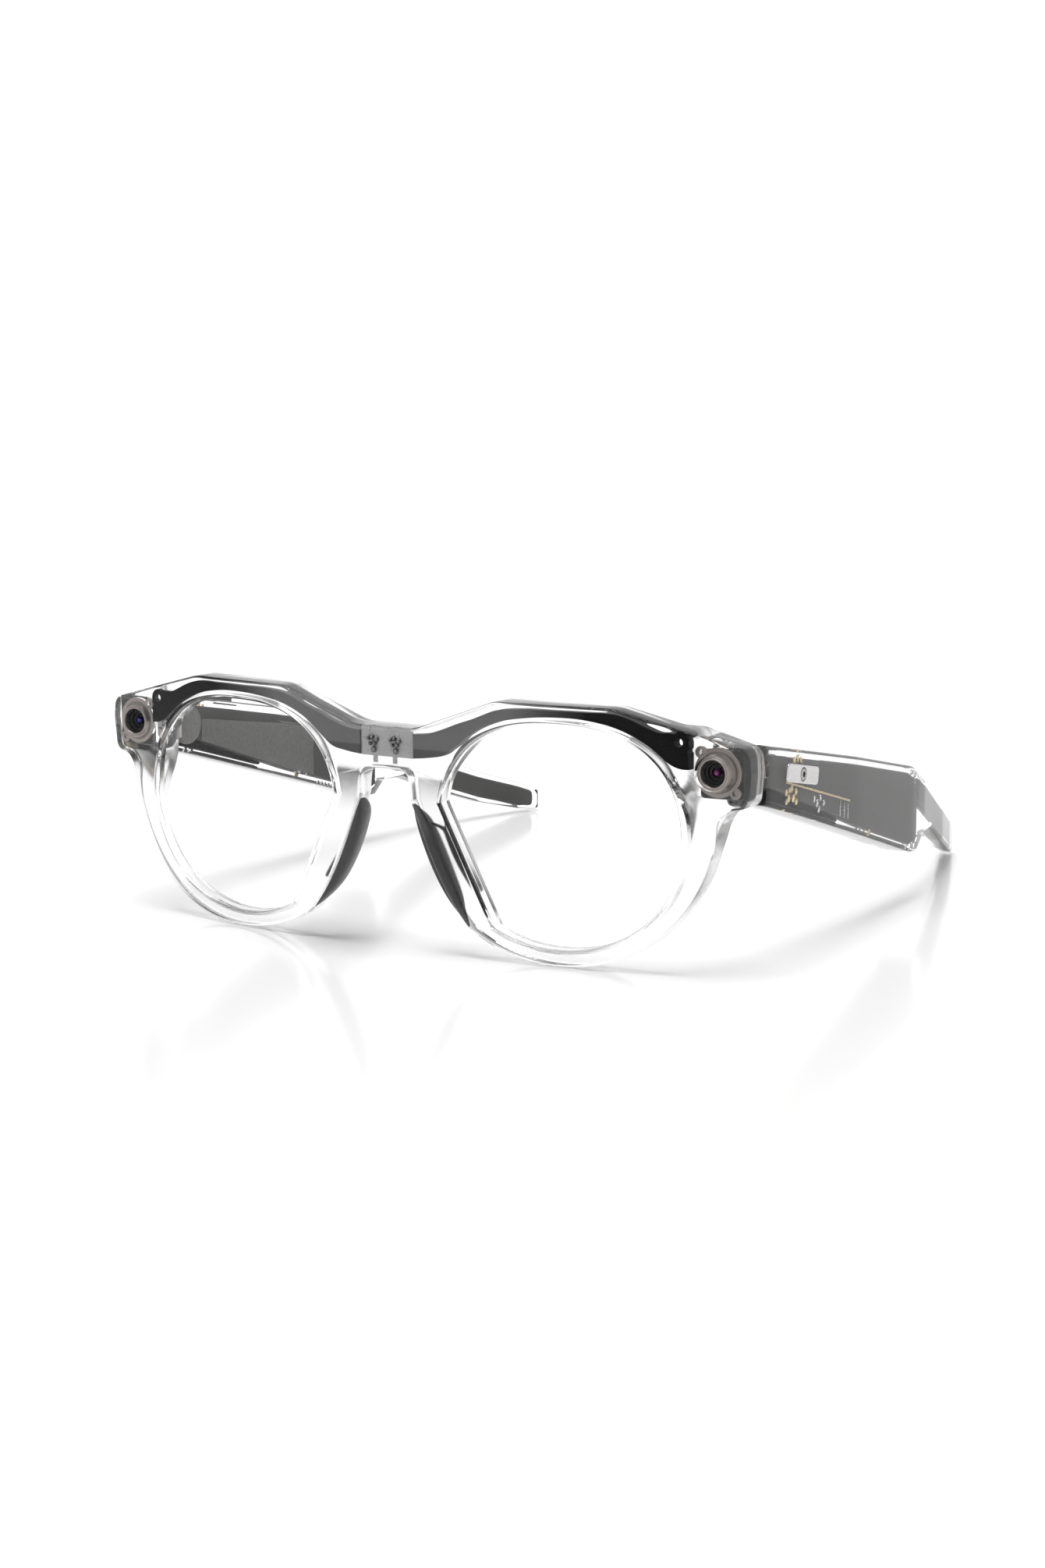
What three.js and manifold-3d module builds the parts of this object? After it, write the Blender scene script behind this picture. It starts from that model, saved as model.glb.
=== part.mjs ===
// Smart glasses: a clear front with a camera and a capture light in its end pieces, and two clear
// temples that hold the electronics and fold on screwed hinges.
// Millimetres, +Z up, -Y forward, +X the wearer's left.
import * as THREE from "three";
import { mergeGeometries, mergeVertices } from "three/addons/utils/BufferGeometryUtils.js";
import Module from "manifold-3d";

const wasm = await Module();
wasm.setup();

// ---- Driving dimensions ----
const GAP = 0.3; // air between pieces that rest on each other

// Front: one curved plate. WRAP_R is the radius that it wraps round the face with.
const WRAP_R = 257;
const FRONT_LEAN = 0.026; // how far the top leans forward, per millimetre of height
const LEAN_Z = 28;
const RIM_DEPTH = 4.6;
const BROW_DEPTH = 6.2;
const BROW_TOP = 49.5;
const BRIDGE_TOP = 43.2;
const ARCH_TOP = 35.1;
const EDGE = 0.6; // chamfer on the front's edges
const END_BACK = 17.2; // where the end pieces stop and the temples start
const PAST_BACK = 9; // a depth that is past the front's back between its end pieces

// Lens opening: a superellipse with a straight nasal side.
const LENS = { x: 35.9, z: 24.6, a: 24.1, up: 21.4, down: 21.5, powerUp: 2.4, powerDown: 2.05 };
const NASAL_LOW = new THREE.Vector2(23.0, 6.3);
const NASAL_HIGH = new THREE.Vector2(11.8, 29.6);
const GROOVE = { out: 0.9, brow: 0.05, start: 0.9, end: 3.1 }; // it fades out under the brow
const LENS_GROW = { rim: 0.5, brow: -GAP };
const LENS_THICK = 1.6;

// Camera and capture light, both looking straight ahead.
const EYE = { x: 65.9, z: 38.3, bore: 3.3, bracket: 4.7, barrel: 2.9 };
const EARS = [
  [62.5, 41.9],
  [69.4, 34.7],
];
const EAR_R = 1.1;
const POCKET = { r: 5.0, y: 11.3 }; // round room behind each eye
const HINGE_ROOM = { x0: 61.7, x1: 70.9, z0: 33.6, z1: 42.2, y: 14.0 };

// Hinge, with its axis upright, just inside the temple.
const HINGE = { x: 62.9, y: 18.6, z0: 34.0, z1: 41.8, r: 1.5, pin: 0.6 };
const HINGE_PLATE = { x0: 62.0, x1: 70.5, y0: 15.7, y1: 16.9 };
const KNUCKLE = 2.6;
const SCREW_HEAD = 1.1;

// Temple: [y, top, bottom, outer x, inner x] at each station from the hinge to the tip.
const ARM = [
  [17.8, 42.9, 31.7, 72.3, 64.8],
  [32.0, 40.3, 27.8, 72.6, 64.7],
  [60.0, 35.1, 19.8, 72.2, 64.3],
  [90.0, 29.0, 11.1, 71.0, 63.2],
  [93.0, 27.8, 10.7, 70.7, 62.9],
  [97.5, 25.4, 13.8, 70.3, 63.0],
  [106.0, 21.6, 13.4, 68.5, 62.9],
  [118.0, 16.4, 8.6, 65.9, 61.3],
  [132.0, 11.2, 3.9, 61.9, 57.9],
  [144.0, 7.2, 0.9, 57.6, 54.1],
  [150.1, 4.9, 0.0, 55.3, 52.3],
];
const SHELL_WALL = 1.3;
const SHELL_EDGE = 1.5;
const BAY = [20.4, 92.4]; // the stretch of each temple that holds electronics
const COVER_THICK = 1.0;

// ---- Colours ----
const finishes = {
  clear: [0xf2f4f5, 0.05, 0],
  graphite: [0x6f6d6b, 0.5, 0.1],
  soot: [0x2b2b2c, 0.55, 0.1],
  rubber: [0x3a393a, 0.8, 0],
  smoke: [0xa5a5a5, 0.3, 0],
  taupe: [0x8c827c, 0.35, 0.9],
  black: [0x060608, 0.1, 0],
  steel: [0xb9bbbd, 0.3, 1],
  gold: [0xd2b178, 0.35, 1],
  board: [0x2c3a33, 0.6, 0],
  cell: [0x8d8f92, 0.4, 0.4],
};
const materials = Object.fromEntries(
  Object.entries(finishes).map(([name, [color, roughness, metalness]]) => [
    name,
    new THREE.MeshStandardMaterial({ name, color, roughness, metalness }),
  ]),
);

// ---- Solids ----
function toSolid(geometry) {
  const bare = new THREE.BufferGeometry();
  bare.setAttribute("position", geometry.getAttribute("position"));
  bare.setIndex(geometry.getIndex());
  const merged = mergeVertices(bare, 1e-4);
  return new wasm.Manifold(
    new wasm.Mesh({
      numProp: 3,
      vertProperties: new Float32Array(merged.attributes.position.array),
      triVerts: new Uint32Array(merged.index.array),
    }),
  );
}

function toGeometry(solid) {
  const mesh = solid.getMesh();
  const geometry = new THREE.BufferGeometry();
  geometry.setAttribute("position", new THREE.BufferAttribute(mesh.vertProperties, 3));
  geometry.setIndex(new THREE.BufferAttribute(mesh.triVerts, 1));
  return geometry;
}

const cut = (geometry, ...tools) =>
  toGeometry(tools.reduce((solid, tool) => solid.subtract(toSolid(tool)), toSolid(geometry)));
const join = (...parts) => toGeometry(parts.map(toSolid).reduce((a, b) => a.add(b)));

// A grid of points as quads; flip turns its faces round.
function grid(rows, flip = false, closed = false) {
  const positions = [];
  const width = rows[0].length;
  const last = closed ? width : width - 1;
  for (let r = 0; r + 1 < rows.length; r++)
    for (let c = 0; c < last; c++) {
      const d = (c + 1) % width;
      const [p, q, s, t] = [rows[r][c], rows[r][d], rows[r + 1][d], rows[r + 1][c]];
      const order = flip ? [p, s, q, p, t, s] : [p, q, s, p, s, t];
      order.forEach((v) => positions.push(v.x, v.y, v.z));
    }
  const geometry = new THREE.BufferGeometry();
  geometry.setAttribute("position", new THREE.Float32BufferAttribute(positions, 3));
  return geometry;
}

// A flat-ended loft through closed sections; each end is a fan round its own middle.
function loft(sections) {
  const middle = (ring) =>
    ring.reduce((sum, p) => sum.add(p), new THREE.Vector3()).divideScalar(ring.length);
  const cap = (ring, flip) => grid([ring, ring.map(() => middle(ring))], flip, true);
  const parts = [grid(sections, false, true), cap(sections[0], true), cap(sections.at(-1), false)];
  const solid = toSolid(mergeGeometries(parts));
  return solid.volume() > 0 ? mergeGeometries(parts) : loft([...sections].reverse());
}

function box(x0, x1, y0, y1, z0, z1) {
  const geometry = new THREE.BoxGeometry(x1 - x0, y1 - y0, z1 - z0);
  return geometry.translate((x0 + x1) / 2, (y0 + y1) / 2, (z0 + z1) / 2);
}

// A round post along Y or Z.
const postY = (x, z, r, y0, y1, sides = 24) =>
  new THREE.CylinderGeometry(r, r, y1 - y0, sides).translate(x, (y0 + y1) / 2, z);
const postZ = (x, y, r, z0, z1, sides = 16) =>
  new THREE.CylinderGeometry(r, r, z1 - z0, sides)
    .rotateX(Math.PI / 2)
    .translate(x, y, (z0 + z1) / 2);

// ---- The front's outline and surfaces ----
const frontY = (x, z) => (x * x) / (2 * WRAP_R) - (z - LEAN_Z) * FRONT_LEAN + 1;
const smooth = (a, b, t) => THREE.MathUtils.smoothstep(t, a, b);

function backY(x, z) {
  const depth = THREE.MathUtils.lerp(RIM_DEPTH, BROW_DEPTH, smooth(33, 40, z));
  const plain = frontY(x, z) + depth;
  const end = smooth(58.0, 61.0, x) * smooth(22.0, 32.5, z);
  return THREE.MathUtils.lerp(plain, END_BACK, end);
}

// The lens opening at an angle, grown outwards by a distance.
function lensEdge(angle, grow = 0) {
  const c = Math.cos(angle);
  const s = Math.sin(angle);
  const power = s > 0 ? LENS.powerUp : LENS.powerDown;
  const b = s > 0 ? LENS.up : LENS.down;
  const reach = (Math.abs(c / LENS.a) ** power + Math.abs(s / b) ** power) ** (-1 / power);
  const point = new THREE.Vector2(LENS.x + c * (reach + grow), LENS.z + s * (reach + grow));
  const along = NASAL_HIGH.clone().sub(NASAL_LOW).normalize();
  const outward = new THREE.Vector2(-along.y, along.x);
  const past = point.clone().sub(NASAL_LOW).dot(outward) - grow;
  return past > 0 ? point.addScaledVector(outward, -past) : point;
}

// Angles round the lens, with the nearest ones moved onto the opening's two nasal corners.
function withCorners(angles) {
  const turned = (from, to) => Math.atan2(Math.sin(to - from), Math.cos(to - from));
  const exact = [...angles];
  for (const corner of [NASAL_LOW, NASAL_HIGH]) {
    const wanted = Math.atan2(corner.y - LENS.z, corner.x - LENS.x);
    const offsets = angles.map((a) => Math.abs(turned(a, wanted)));
    const nearest = offsets.indexOf(Math.min(...offsets));
    exact[nearest] += turned(angles[nearest], wanted);
  }
  return exact;
}

// How much of the groove there is at an angle: all of it at the bottom and sides, none under the brow.
const grooved = (angle) => 1 - smooth(0.15, 0.5, Math.sin(angle));
const grooveOut = (angle) => THREE.MathUtils.lerp(GROOVE.brow, GROOVE.out, grooved(angle));
const lensGrow = (angle) => THREE.MathUtils.lerp(LENS_GROW.brow, LENS_GROW.rim, grooved(angle));

function refine(points, step) {
  const out = [points[0]];
  for (let i = 1; i < points.length; i++) {
    const pieces = Math.max(1, Math.ceil(points[i - 1].distanceTo(points[i]) / step));
    for (let k = 1; k <= pieces; k++) out.push(points[i - 1].clone().lerp(points[i], k / pieces));
  }
  return out;
}

// From the middle of the bridge's top, round the brow, end piece, rim and nose, to the middle of the arch.
function outerPath() {
  const path = new THREE.Path();
  path.moveTo(0, BRIDGE_TOP);
  path.lineTo(5, BRIDGE_TOP);
  path.quadraticCurveTo(6.6, BRIDGE_TOP, 8.2, 43.7);
  path.lineTo(22.6, 49.0);
  path.quadraticCurveTo(23.7, BROW_TOP, 25.2, BROW_TOP);
  path.lineTo(45.6, BROW_TOP - 0.1);
  path.quadraticCurveTo(46.9, BROW_TOP - 0.1, 48.2, 49.1);
  path.lineTo(70.6, 43.1);
  path.quadraticCurveTo(72.0, 42.6, 72.4, 41.2);
  path.lineTo(72.7, 38.5);
  path.lineTo(72.2, 33.4);
  path.quadraticCurveTo(71.9, 31.8, 70.2, 31.7);
  path.quadraticCurveTo(67.0, 31.3, 66.5, 27.5);
  path.bezierCurveTo(65.4, 14.6, 55.2, 0.0, 37.0, 0.0);
  path.quadraticCurveTo(25.6, 0.0, 18.0, 5.7);
  path.bezierCurveTo(12.0, 12.4, 9.2, 21.0, 5.9, 28.9);
  path.lineTo(5.5, 32.6);
  path.quadraticCurveTo(5.3, 34.8, 3.6, 34.95);
  path.lineTo(0, ARCH_TOP);
  return refine(path.getPoints(3), 7.5);
}

// A path moved inwards (to its right-hand side as it runs); its ends stay on the middle plane.
function inset(path, distance) {
  return path.map((p, i) => {
    const before = path[Math.max(0, i - 1)];
    const after = path[Math.min(path.length - 1, i + 1)];
    const run = after.clone().sub(before).normalize();
    const moved = new THREE.Vector2(p.x + run.y * distance, p.y - run.x * distance);
    return i === 0 || i === path.length - 1 ? new THREE.Vector2(0, moved.y) : moved;
  });
}

const at = (yOf, depth) => (p) => new THREE.Vector3(p.x, yOf(p.x, p.y) + depth, p.y);

function frontHalf() {
  const outer = outerPath();
  const outerIn = inset(outer, EDGE);
  const [low, high] = [outerIn.at(-1).y, outerIn[0].y];
  const middle = [1 / 3, 2 / 3].map((t) => new THREE.Vector2(0, THREE.MathUtils.lerp(low, high, t)));
  const loop = [...outerIn, ...middle];
  let angle = Math.PI;
  const around = loop.map((p) => {
    let turn = Math.atan2(p.y - LENS.z, p.x - LENS.x);
    while (turn > angle + 1) turn -= 2 * Math.PI;
    angle = Math.min(turn, angle - 0.01);
    return angle;
  });
  const angles = withCorners(around);
  const inner = (grow) => angles.map((a) => lensEdge(a, grow));
  const groove = angles.map((a) => lensEdge(a, grooveOut(a)));
  const innerOut = inner(EDGE);
  const half = loop.map((p, i) => p.clone().lerp(innerOut[i], 0.5));
  const skin = (yOf, side) => [
    grid([outer.map(at(yOf, EDGE * side)), outerIn.map(at(yOf, 0))], side > 0),
    grid([loop, half, innerOut].map((row) => row.map(at(yOf, 0))), side > 0, true),
    grid([innerOut.map(at(yOf, 0)), inner(0).map(at(yOf, EDGE * side))], side > 0, true),
  ];
  const wall = grid([outer.map(at(frontY, EDGE)), outer.map(at(backY, -EDGE))]);
  const hole = [
    inner(0).map(at(frontY, EDGE)),
    inner(0).map(at(frontY, GROOVE.start)),
    groove.map(at(frontY, GROOVE.start + 0.2)),
    groove.map(at(frontY, GROOVE.end - 0.2)),
    inner(0).map(at(frontY, GROOVE.end)),
    inner(0).map(at(backY, -EDGE)),
  ];
  return mergeGeometries([...skin(frontY, 1), ...skin(backY, -1), wall, grid(hole, true, true)]);
}

// The other side's copy of a geometry, with its faces turned back out.
function mirrored(geometry) {
  const copy = geometry.index ? geometry.toNonIndexed() : geometry.clone();
  const p = copy.getAttribute("position");
  for (let i = 0; i < p.count; i += 3) {
    const [a, b, c] = [0, 1, 2].map((k) => new THREE.Vector3().fromBufferAttribute(p, i + k));
    [a, c, b].forEach((v, k) => p.setXYZ(i + k, -v.x, v.y, v.z));
  }
  return copy;
}

const bothSides = (geometry) => [geometry, mirrored(geometry)];

// A curved strip between a lower and an upper edge, from one depth behind the front's face to another.
function strip(stations, near, far) {
  const sections = stations.map(([x, low, high]) => [
    new THREE.Vector3(x, near(x, low), low),
    new THREE.Vector3(x, far(x, low), low),
    new THREE.Vector3(x, far(x, high), high),
    new THREE.Vector3(x, near(x, high), high),
  ]);
  return loft(sections);
}

// Brow bay: [x, lower edge, upper edge] from the bridge to the end piece.
const BROW = [
  [6.2, 37.3, 42.0],
  [9.4, 37.7, 42.4],
  [13.0, 38.6, 43.6],
  [15.2, 40.3, 44.5],
  [18.6, 43.0, 45.7],
  [24.0, 45.5, 47.8],
  [29.0, 46.5, 48.3],
  [35.0, 47.0, 48.3],
  [41.5, 46.8, 48.3],
  [48.2, 45.3, 48.0],
  [50.9, 44.1, 47.1],
  [53.3, 42.7, 46.0],
  [55.2, 41.2, 45.3],
  [57.1, 39.6, 45.3],
  [59.2, 38.7, 45.3],
  [60.3, 38.6, 44.4],
];
const BAY_WALL = 0.2; // how far the bay reaches past the plate all round
const grownBrow = BROW.map(([x, low, high], i) => {
  const end = i === BROW.length - 1 ? GAP : 0;
  return [x + end, low - BAY_WALL, high + BAY_WALL];
});
const behind = (depth) => (x, z) => frontY(x, z) + depth;
const EYELET = { x: 59.0, z: 43.6, r: 0.8 };
const WINDOW = { x: 5.8, z0: 37.0, z1: 42.6 };
const BAY_DEPTH = 1.6;
const PLATE = [1.9, 4.6];
const COVER_DEPTH = 4.9;

// ---- Nose pads ----
// The nasal wall from the arch down to the rim, as a curve in X and Z.
const nasal = new THREE.CubicBezierCurve(
  new THREE.Vector2(5.9, 28.9),
  new THREE.Vector2(9.2, 21.0),
  new THREE.Vector2(12.0, 12.4),
  new THREE.Vector2(18.0, 5.7),
);

// Sections of [reach towards the nose, depth behind the face] swept down the nasal wall.
function alongNose(from, to, steps, section) {
  const sections = [];
  for (let i = 0; i <= steps; i++) {
    const t = from + ((to - from) * i) / steps;
    const p = nasal.getPoint(t);
    const run = nasal.getTangent(THREE.MathUtils.clamp(t, 0, 1));
    sections.push(
      section(t).map(([reach, depth]) => {
        const x = p.x + run.y * reach;
        const z = p.y - run.x * reach;
        return new THREE.Vector3(x, frontY(x, z) + depth, z);
      }),
    );
  }
  return loft(sections);
}

const PAD = { front: 1.4, seat: 1.35, proud: 0.3, swell: 2.6 };
const TAB = { places: [0.26, 0.56], length: 0.12, reach: 2.9, near: 2.2, far: 3.6 };

// The pad swells towards its middle, and two tabs key it into the rim.
function nosePad() {
  const body = alongNose(0.01, 0.98, 14, (t) => {
    const swell = Math.sin(Math.PI * t ** 0.75) ** 0.8;
    const back = RIM_DEPTH + PAD.proud + PAD.swell * swell;
    return [
      [0.1 + 0.9 * swell, PAD.front],
      [0.2 + 1.5 * swell, 2.6],
      [0.2 + 0.9 * swell, RIM_DEPTH],
      [-0.3 - 0.7 * swell, back],
      [-1.2 - 0.9 * swell, back - 0.2],
      [-PAD.seat, 3.2],
      [-PAD.seat, PAD.front],
    ];
  });
  const tab = (t) =>
    alongNose(t, t + TAB.length, 2, () => [
      [-1.0, TAB.near],
      [-1.0, TAB.far],
      [-TAB.reach, TAB.far],
      [-TAB.reach, TAB.near],
    ]);
  return join(body, ...TAB.places.map(tab));
}

// The rebate in the rim that the pad lies in, and the slots for its tabs.
function padSeat() {
  const rebate = alongNose(-0.015, 1.01, 14, () => [
    [2.0, PAD.front - GAP],
    [2.0, PAST_BACK],
    [-PAD.seat - GAP, PAST_BACK],
    [-PAD.seat - GAP, PAD.front - GAP],
  ]);
  const slot = (t) =>
    alongNose(t - 0.012, t + TAB.length + 0.012, 2, () => [
      [0, TAB.near - GAP],
      [0, TAB.far + GAP],
      [-TAB.reach - GAP, TAB.far + GAP],
      [-TAB.reach - GAP, TAB.near - GAP],
    ]);
  return [rebate, ...TAB.places.map(slot)];
}

// ---- The front's parts ----
function frontFrame() {
  const half = frontHalf();
  const whole = mergeGeometries([half, mirrored(half)]);
  const tools = [
    strip(grownBrow, behind(BAY_DEPTH), behind(PAST_BACK)),
    postY(EYE.x, EYE.z, EYE.bore, -5, POCKET.y + 1),
    postY(EYE.x, EYE.z, POCKET.r, POCKET.y, END_BACK + 2, 28),
    ...EARS.map(([x, z]) => postY(x, z, EAR_R + GAP, POCKET.y, END_BACK + 2, 12)),
    box(HINGE_ROOM.x0, HINGE_ROOM.x1, HINGE_ROOM.y, END_BACK + 2, HINGE_ROOM.z0, HINGE_ROOM.z1),
    ...padSeat(),
  ].flatMap(bothSides);
  const middle = strip(
    [-6.3, -3, 0, 3, 6.3].map((x) => [x, WINDOW.z0 - BAY_WALL, WINDOW.z1 + BAY_WALL]),
    behind(BAY_DEPTH),
    behind(PAST_BACK),
  );
  return cut(whole, ...tools, middle);
}

const lens = () => {
  const turns = withCorners(Array.from({ length: 48 }, (_, i) => (-i * Math.PI) / 24));
  const ring = turns.map((a) => lensEdge(a, lensGrow(a)));
  const inner = ring.map((p) => p.clone().lerp(new THREE.Vector2(LENS.x, LENS.z), 0.5));
  const centre = ring.map(() => new THREE.Vector2(LENS.x, LENS.z));
  const near = GROOVE.start + GAP;
  const far = near + LENS_THICK;
  const face = (depth, flip) =>
    grid([ring, inner, centre].map((row) => row.map(at(frontY, depth))), flip, true);
  const rim = grid([ring.map(at(frontY, near)), ring.map(at(frontY, far))], false, true);
  return mergeGeometries([face(near, true), face(far, false), rim]);
};

function browPlate() {
  const plate = strip(BROW, behind(PLATE[0]), behind(PLATE[1]));
  return cut(plate, postY(EYELET.x, EYELET.z, EYELET.r + GAP, -5, 30, 12));
}

function browCover() {
  const side = strip(BROW, behind(COVER_DEPTH), behind(BROW_DEPTH));
  const seat = frontY(EYELET.x, EYELET.z);
  const boss = postY(EYELET.x, EYELET.z, EYELET.r, seat + PLATE[0] + 0.1, seat + COVER_DEPTH + 0.6, 12);
  const half = join(side, boss);
  const middle = strip(
    [-6.5, -3, 0, 3, 6.5].map((x) => [x, WINDOW.z0 + 0.2, WINDOW.z1 - 0.6]),
    behind(COVER_DEPTH),
    behind(BROW_DEPTH),
  );
  const { x, z0, z1 } = CONTACT_PLATE;
  const opening = box(-x - GAP, x + GAP, -5, 20, z0 - GAP, z1 + GAP);
  return cut(join(half, mirrored(half), middle), opening);
}

// Charging block in the bridge: its back face is flat and carries the contacts.
const CONTACT_PLATE = { x: 5.2, front: 4.8, back: 7.3, z0: 37.9, z1: 41.7 };
const CONTACT = { x: 2.3, z: 39.8, r: 0.9, front: 5.9 };
const contactPlaces = [-CONTACT.x, CONTACT.x];

function chargeBlock() {
  const { x, front, back, z0, z1 } = CONTACT_PLATE;
  const seat = (place) => postY(place, CONTACT.z, CONTACT.r + GAP, CONTACT.front - GAP, PAST_BACK, 12);
  return cut(box(-x, x, front, back, z0, z1), ...contactPlaces.map(seat));
}

const contact = (place) =>
  postY(place, CONTACT.z, CONTACT.r, CONTACT.front, CONTACT_PLATE.back, 12);

function eyeBracket() {
  const disc = postY(EYE.x, EYE.z, EYE.bracket, POCKET.y + GAP, POCKET.y + 1.1, 24);
  const ears = EARS.map(([x, z]) => postY(x, z, EAR_R, POCKET.y + GAP, POCKET.y + 1.1, 12));
  const bore = postY(EYE.x, EYE.z, EYE.barrel + GAP, 0, 30, 24);
  return cut(join(disc, ...ears), bore);
}

function eyeBarrel() {
  const profile = [
    [0, 9.9],
    [2.0, 9.9],
    [2.5, 9.4],
    [2.5, 9.1],
    [EYE.barrel, 9.1],
    [EYE.barrel, 14.3],
    [0, 14.3],
  ].map(([r, y]) => new THREE.Vector2(r, y));
  return new THREE.LatheGeometry(profile, 24).translate(EYE.x, 0, EYE.z);
}

const eyeGlass = () => {
  const profile = [
    [0, 8.7],
    [1.6, 8.8],
    [2.2, 9.0],
    [2.2, 9.1],
    [0, 9.5],
  ].map(([r, y]) => new THREE.Vector2(r, y));
  return new THREE.LatheGeometry(profile, 24).translate(EYE.x, 0, EYE.z);
};

const eyeBoard = () => box(62.2, 70.4, 14.6, 15.4, 34.1, 41.8);

// ---- Hinges ----
const knuckle = (z0, z1) => postZ(HINGE.x, HINGE.y, HINGE.r, z0, z1);
const pinHole = () => postZ(HINGE.x, HINGE.y, HINGE.pin + 0.1, HINGE.z0 - 1, HINGE.z1 + 1);

function hingeFront() {
  const { x0, x1, y0, y1 } = HINGE_PLATE;
  const plate = box(x0, x1, y0, y1, HINGE.z0, HINGE.z1);
  const ears = [
    [HINGE.z0, HINGE.z0 + KNUCKLE],
    [HINGE.z1 - KNUCKLE, HINGE.z1],
  ].flatMap(([z0, z1]) => [knuckle(z0, z1), box(x0, HINGE.x + 1.0, y0 + 0.5, HINGE.y, z0, z1)]);
  return cut(join(plate, ...ears), pinHole());
}

const LEAF = { z0: HINGE.z0 + KNUCKLE + 0.2, z1: HINGE.z1 - KNUCKLE - 0.2 };

function hingeTemple() {
  const arm = box(HINGE.x, 67.4, HINGE.y - 0.5, HINGE.y + 0.8, LEAF.z0, LEAF.z1);
  const foot = box(66.2, 67.4, HINGE.y - 0.5, 27, LEAF.z0, LEAF.z1);
  return cut(join(knuckle(LEAF.z0, LEAF.z1), arm, foot), pinHole());
}

const hingeScrew = () =>
  join(
    postZ(HINGE.x, HINGE.y, HINGE.pin, HINGE.z0 + 0.1, HINGE.z1 + 0.5, 12),
    postZ(HINGE.x, HINGE.y, SCREW_HEAD, HINGE.z1 + 0.15, HINGE.z1 + 0.75, 12),
  );

// ---- Temples ----
// The temple's edges at a distance from the hinge.
function armAt(y) {
  const i = Math.max(1, ARM.findIndex((row) => row[0] >= y));
  const [a, b] = [ARM[i - 1], ARM[i] ?? ARM.at(-1)];
  const t = THREE.MathUtils.clamp((y - a[0]) / (b[0] - a[0]), 0, 1);
  const [, top, bottom, outer, inner] = a.map((v, k) => THREE.MathUtils.lerp(v, b[k], t));
  return { top, bottom, outer, inner };
}

// A block that follows the temple: edges says how it sits inside the temple's own edges at each y.
function armBlock(ys, edges, chamfer = 0) {
  return loft(
    ys.map((y) => {
      const { x0, x1, z0, z1 } = edges(armAt(y), y);
      const c = chamfer;
      const corners = c
        ? [
            [x0 + c, z0],
            [x1 - c, z0],
            [x1, z0 + c],
            [x1, z1 - c],
            [x1 - c, z1],
            [x0 + c, z1],
            [x0, z1 - c],
            [x0, z0 + c],
          ]
        : [
            [x0, z0],
            [x1, z0],
            [x1, z1],
            [x0, z1],
          ];
      return corners.map(([x, z]) => new THREE.Vector3(x, y, z));
    }),
  );
}

const insetBy = (outer, inner, top, bottom) => (a) => ({
  x0: a.inner + inner,
  x1: a.outer - outer,
  z0: a.bottom + bottom,
  z1: a.top - top,
});

const BAY_YS = [BAY[0], 32, 60, 90, BAY[1]];
const tight = BAY_YS.map((y, i) => (i === 0 ? y + GAP : i === 4 ? y - GAP : y));

function templeShell(extra) {
  const body = armBlock(ARM.map((row) => row[0]), insetBy(0, 0, 0, 0), 0.7);
  const bay = armBlock(BAY_YS, insetBy(SHELL_WALL, -2, SHELL_EDGE, SHELL_EDGE));
  const arm = armBlock(ARM_CORE_YS, armCoreEdges(GAP));
  const mouth = box(61, 70.8, 17, BAY[0] + 0.5, LEAF.z0 - GAP, LEAF.z1 + GAP);
  return cut(body, bay, arm, mouth, ...extra);
}

// The stiffening core of the rear arm, which slides in from the electronics bay.
const ARM_CORE_YS = [92.0, 93.0, 97.5, 106, 118, 132, 144, 147.4];
const ARM_CORE = { wall: 1.35, leastWall: 0.9, tip: 140, tipRise: 0.25 };

function armCoreEdges(grow) {
  const wall = ARM_CORE.wall - grow;
  const side = Math.max(ARM_CORE.leastWall, wall);
  return (a, y) => ({
    x0: a.inner + side,
    x1: a.outer - side,
    z0: a.bottom + wall + 0.1 + (y > ARM_CORE.tip ? ARM_CORE.tipRise : 0),
    z1: a.top - wall,
  });
}

const armCore = () => {
  const ys = ARM_CORE_YS.slice(1).map((y) => (y > ARM_CORE.tip ? y - GAP : y));
  return armBlock(ys, armCoreEdges(0));
};

const TRAY_EDGE = SHELL_EDGE + GAP;
const TRAY_X = { outer: SHELL_WALL + 1.2, inner: COVER_THICK + GAP };
const TRAY_WALL = 0.8;

// The tray's lower front corner is open, below a slanting edge, where the speaker shows.
const SLANT = { y0: 20, z0: 35.0, y1: 62, z1: 21.0 };
const slantAt = (y) => THREE.MathUtils.mapLinear(y, SLANT.y0, SLANT.y1, SLANT.z0, SLANT.z1);
const trayBottom = (y, bottom) => Math.max(bottom, slantAt(y));
const TRAY_YS = [tight[0], 32, 46, 60, 66, 90, tight[4]];

function tray() {
  const body = armBlock(TRAY_YS, (a, y) => ({
    x0: a.inner + TRAY_X.inner,
    x1: a.outer - TRAY_X.outer,
    z0: trayBottom(y, a.bottom + TRAY_EDGE),
    z1: a.top - TRAY_EDGE,
  }));
  const well = (y0, y1) =>
    armBlock([y0, (y0 + y1) / 2, y1], (a, y) => ({
      x0: a.inner - 1,
      x1: a.outer - TRAY_X.outer - TRAY_WALL,
      z0: trayBottom(y, a.bottom + TRAY_EDGE) + 1.0,
      z1: a.top - TRAY_EDGE - 1.0,
    }));
  const leafRoom = box(63, 68.0, 17, 27.4, LEAF.z0 - GAP, LEAF.z1 + GAP);
  return cut(body, well(30.5, 56), well(57.5, 89.5), leafRoom);
}

const inWell = (y0, y1, depth0, depth1) =>
  armBlock([y0 + GAP, (y0 + y1) / 2, y1 - GAP], (a, y) => ({
    x0: a.inner + TRAY_X.inner + depth0,
    x1: a.inner + TRAY_X.inner + depth1,
    z0: trayBottom(y, a.bottom + TRAY_EDGE) + 1.0 + GAP,
    z1: a.top - TRAY_EDGE - 1.0 - GAP,
  }));

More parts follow.
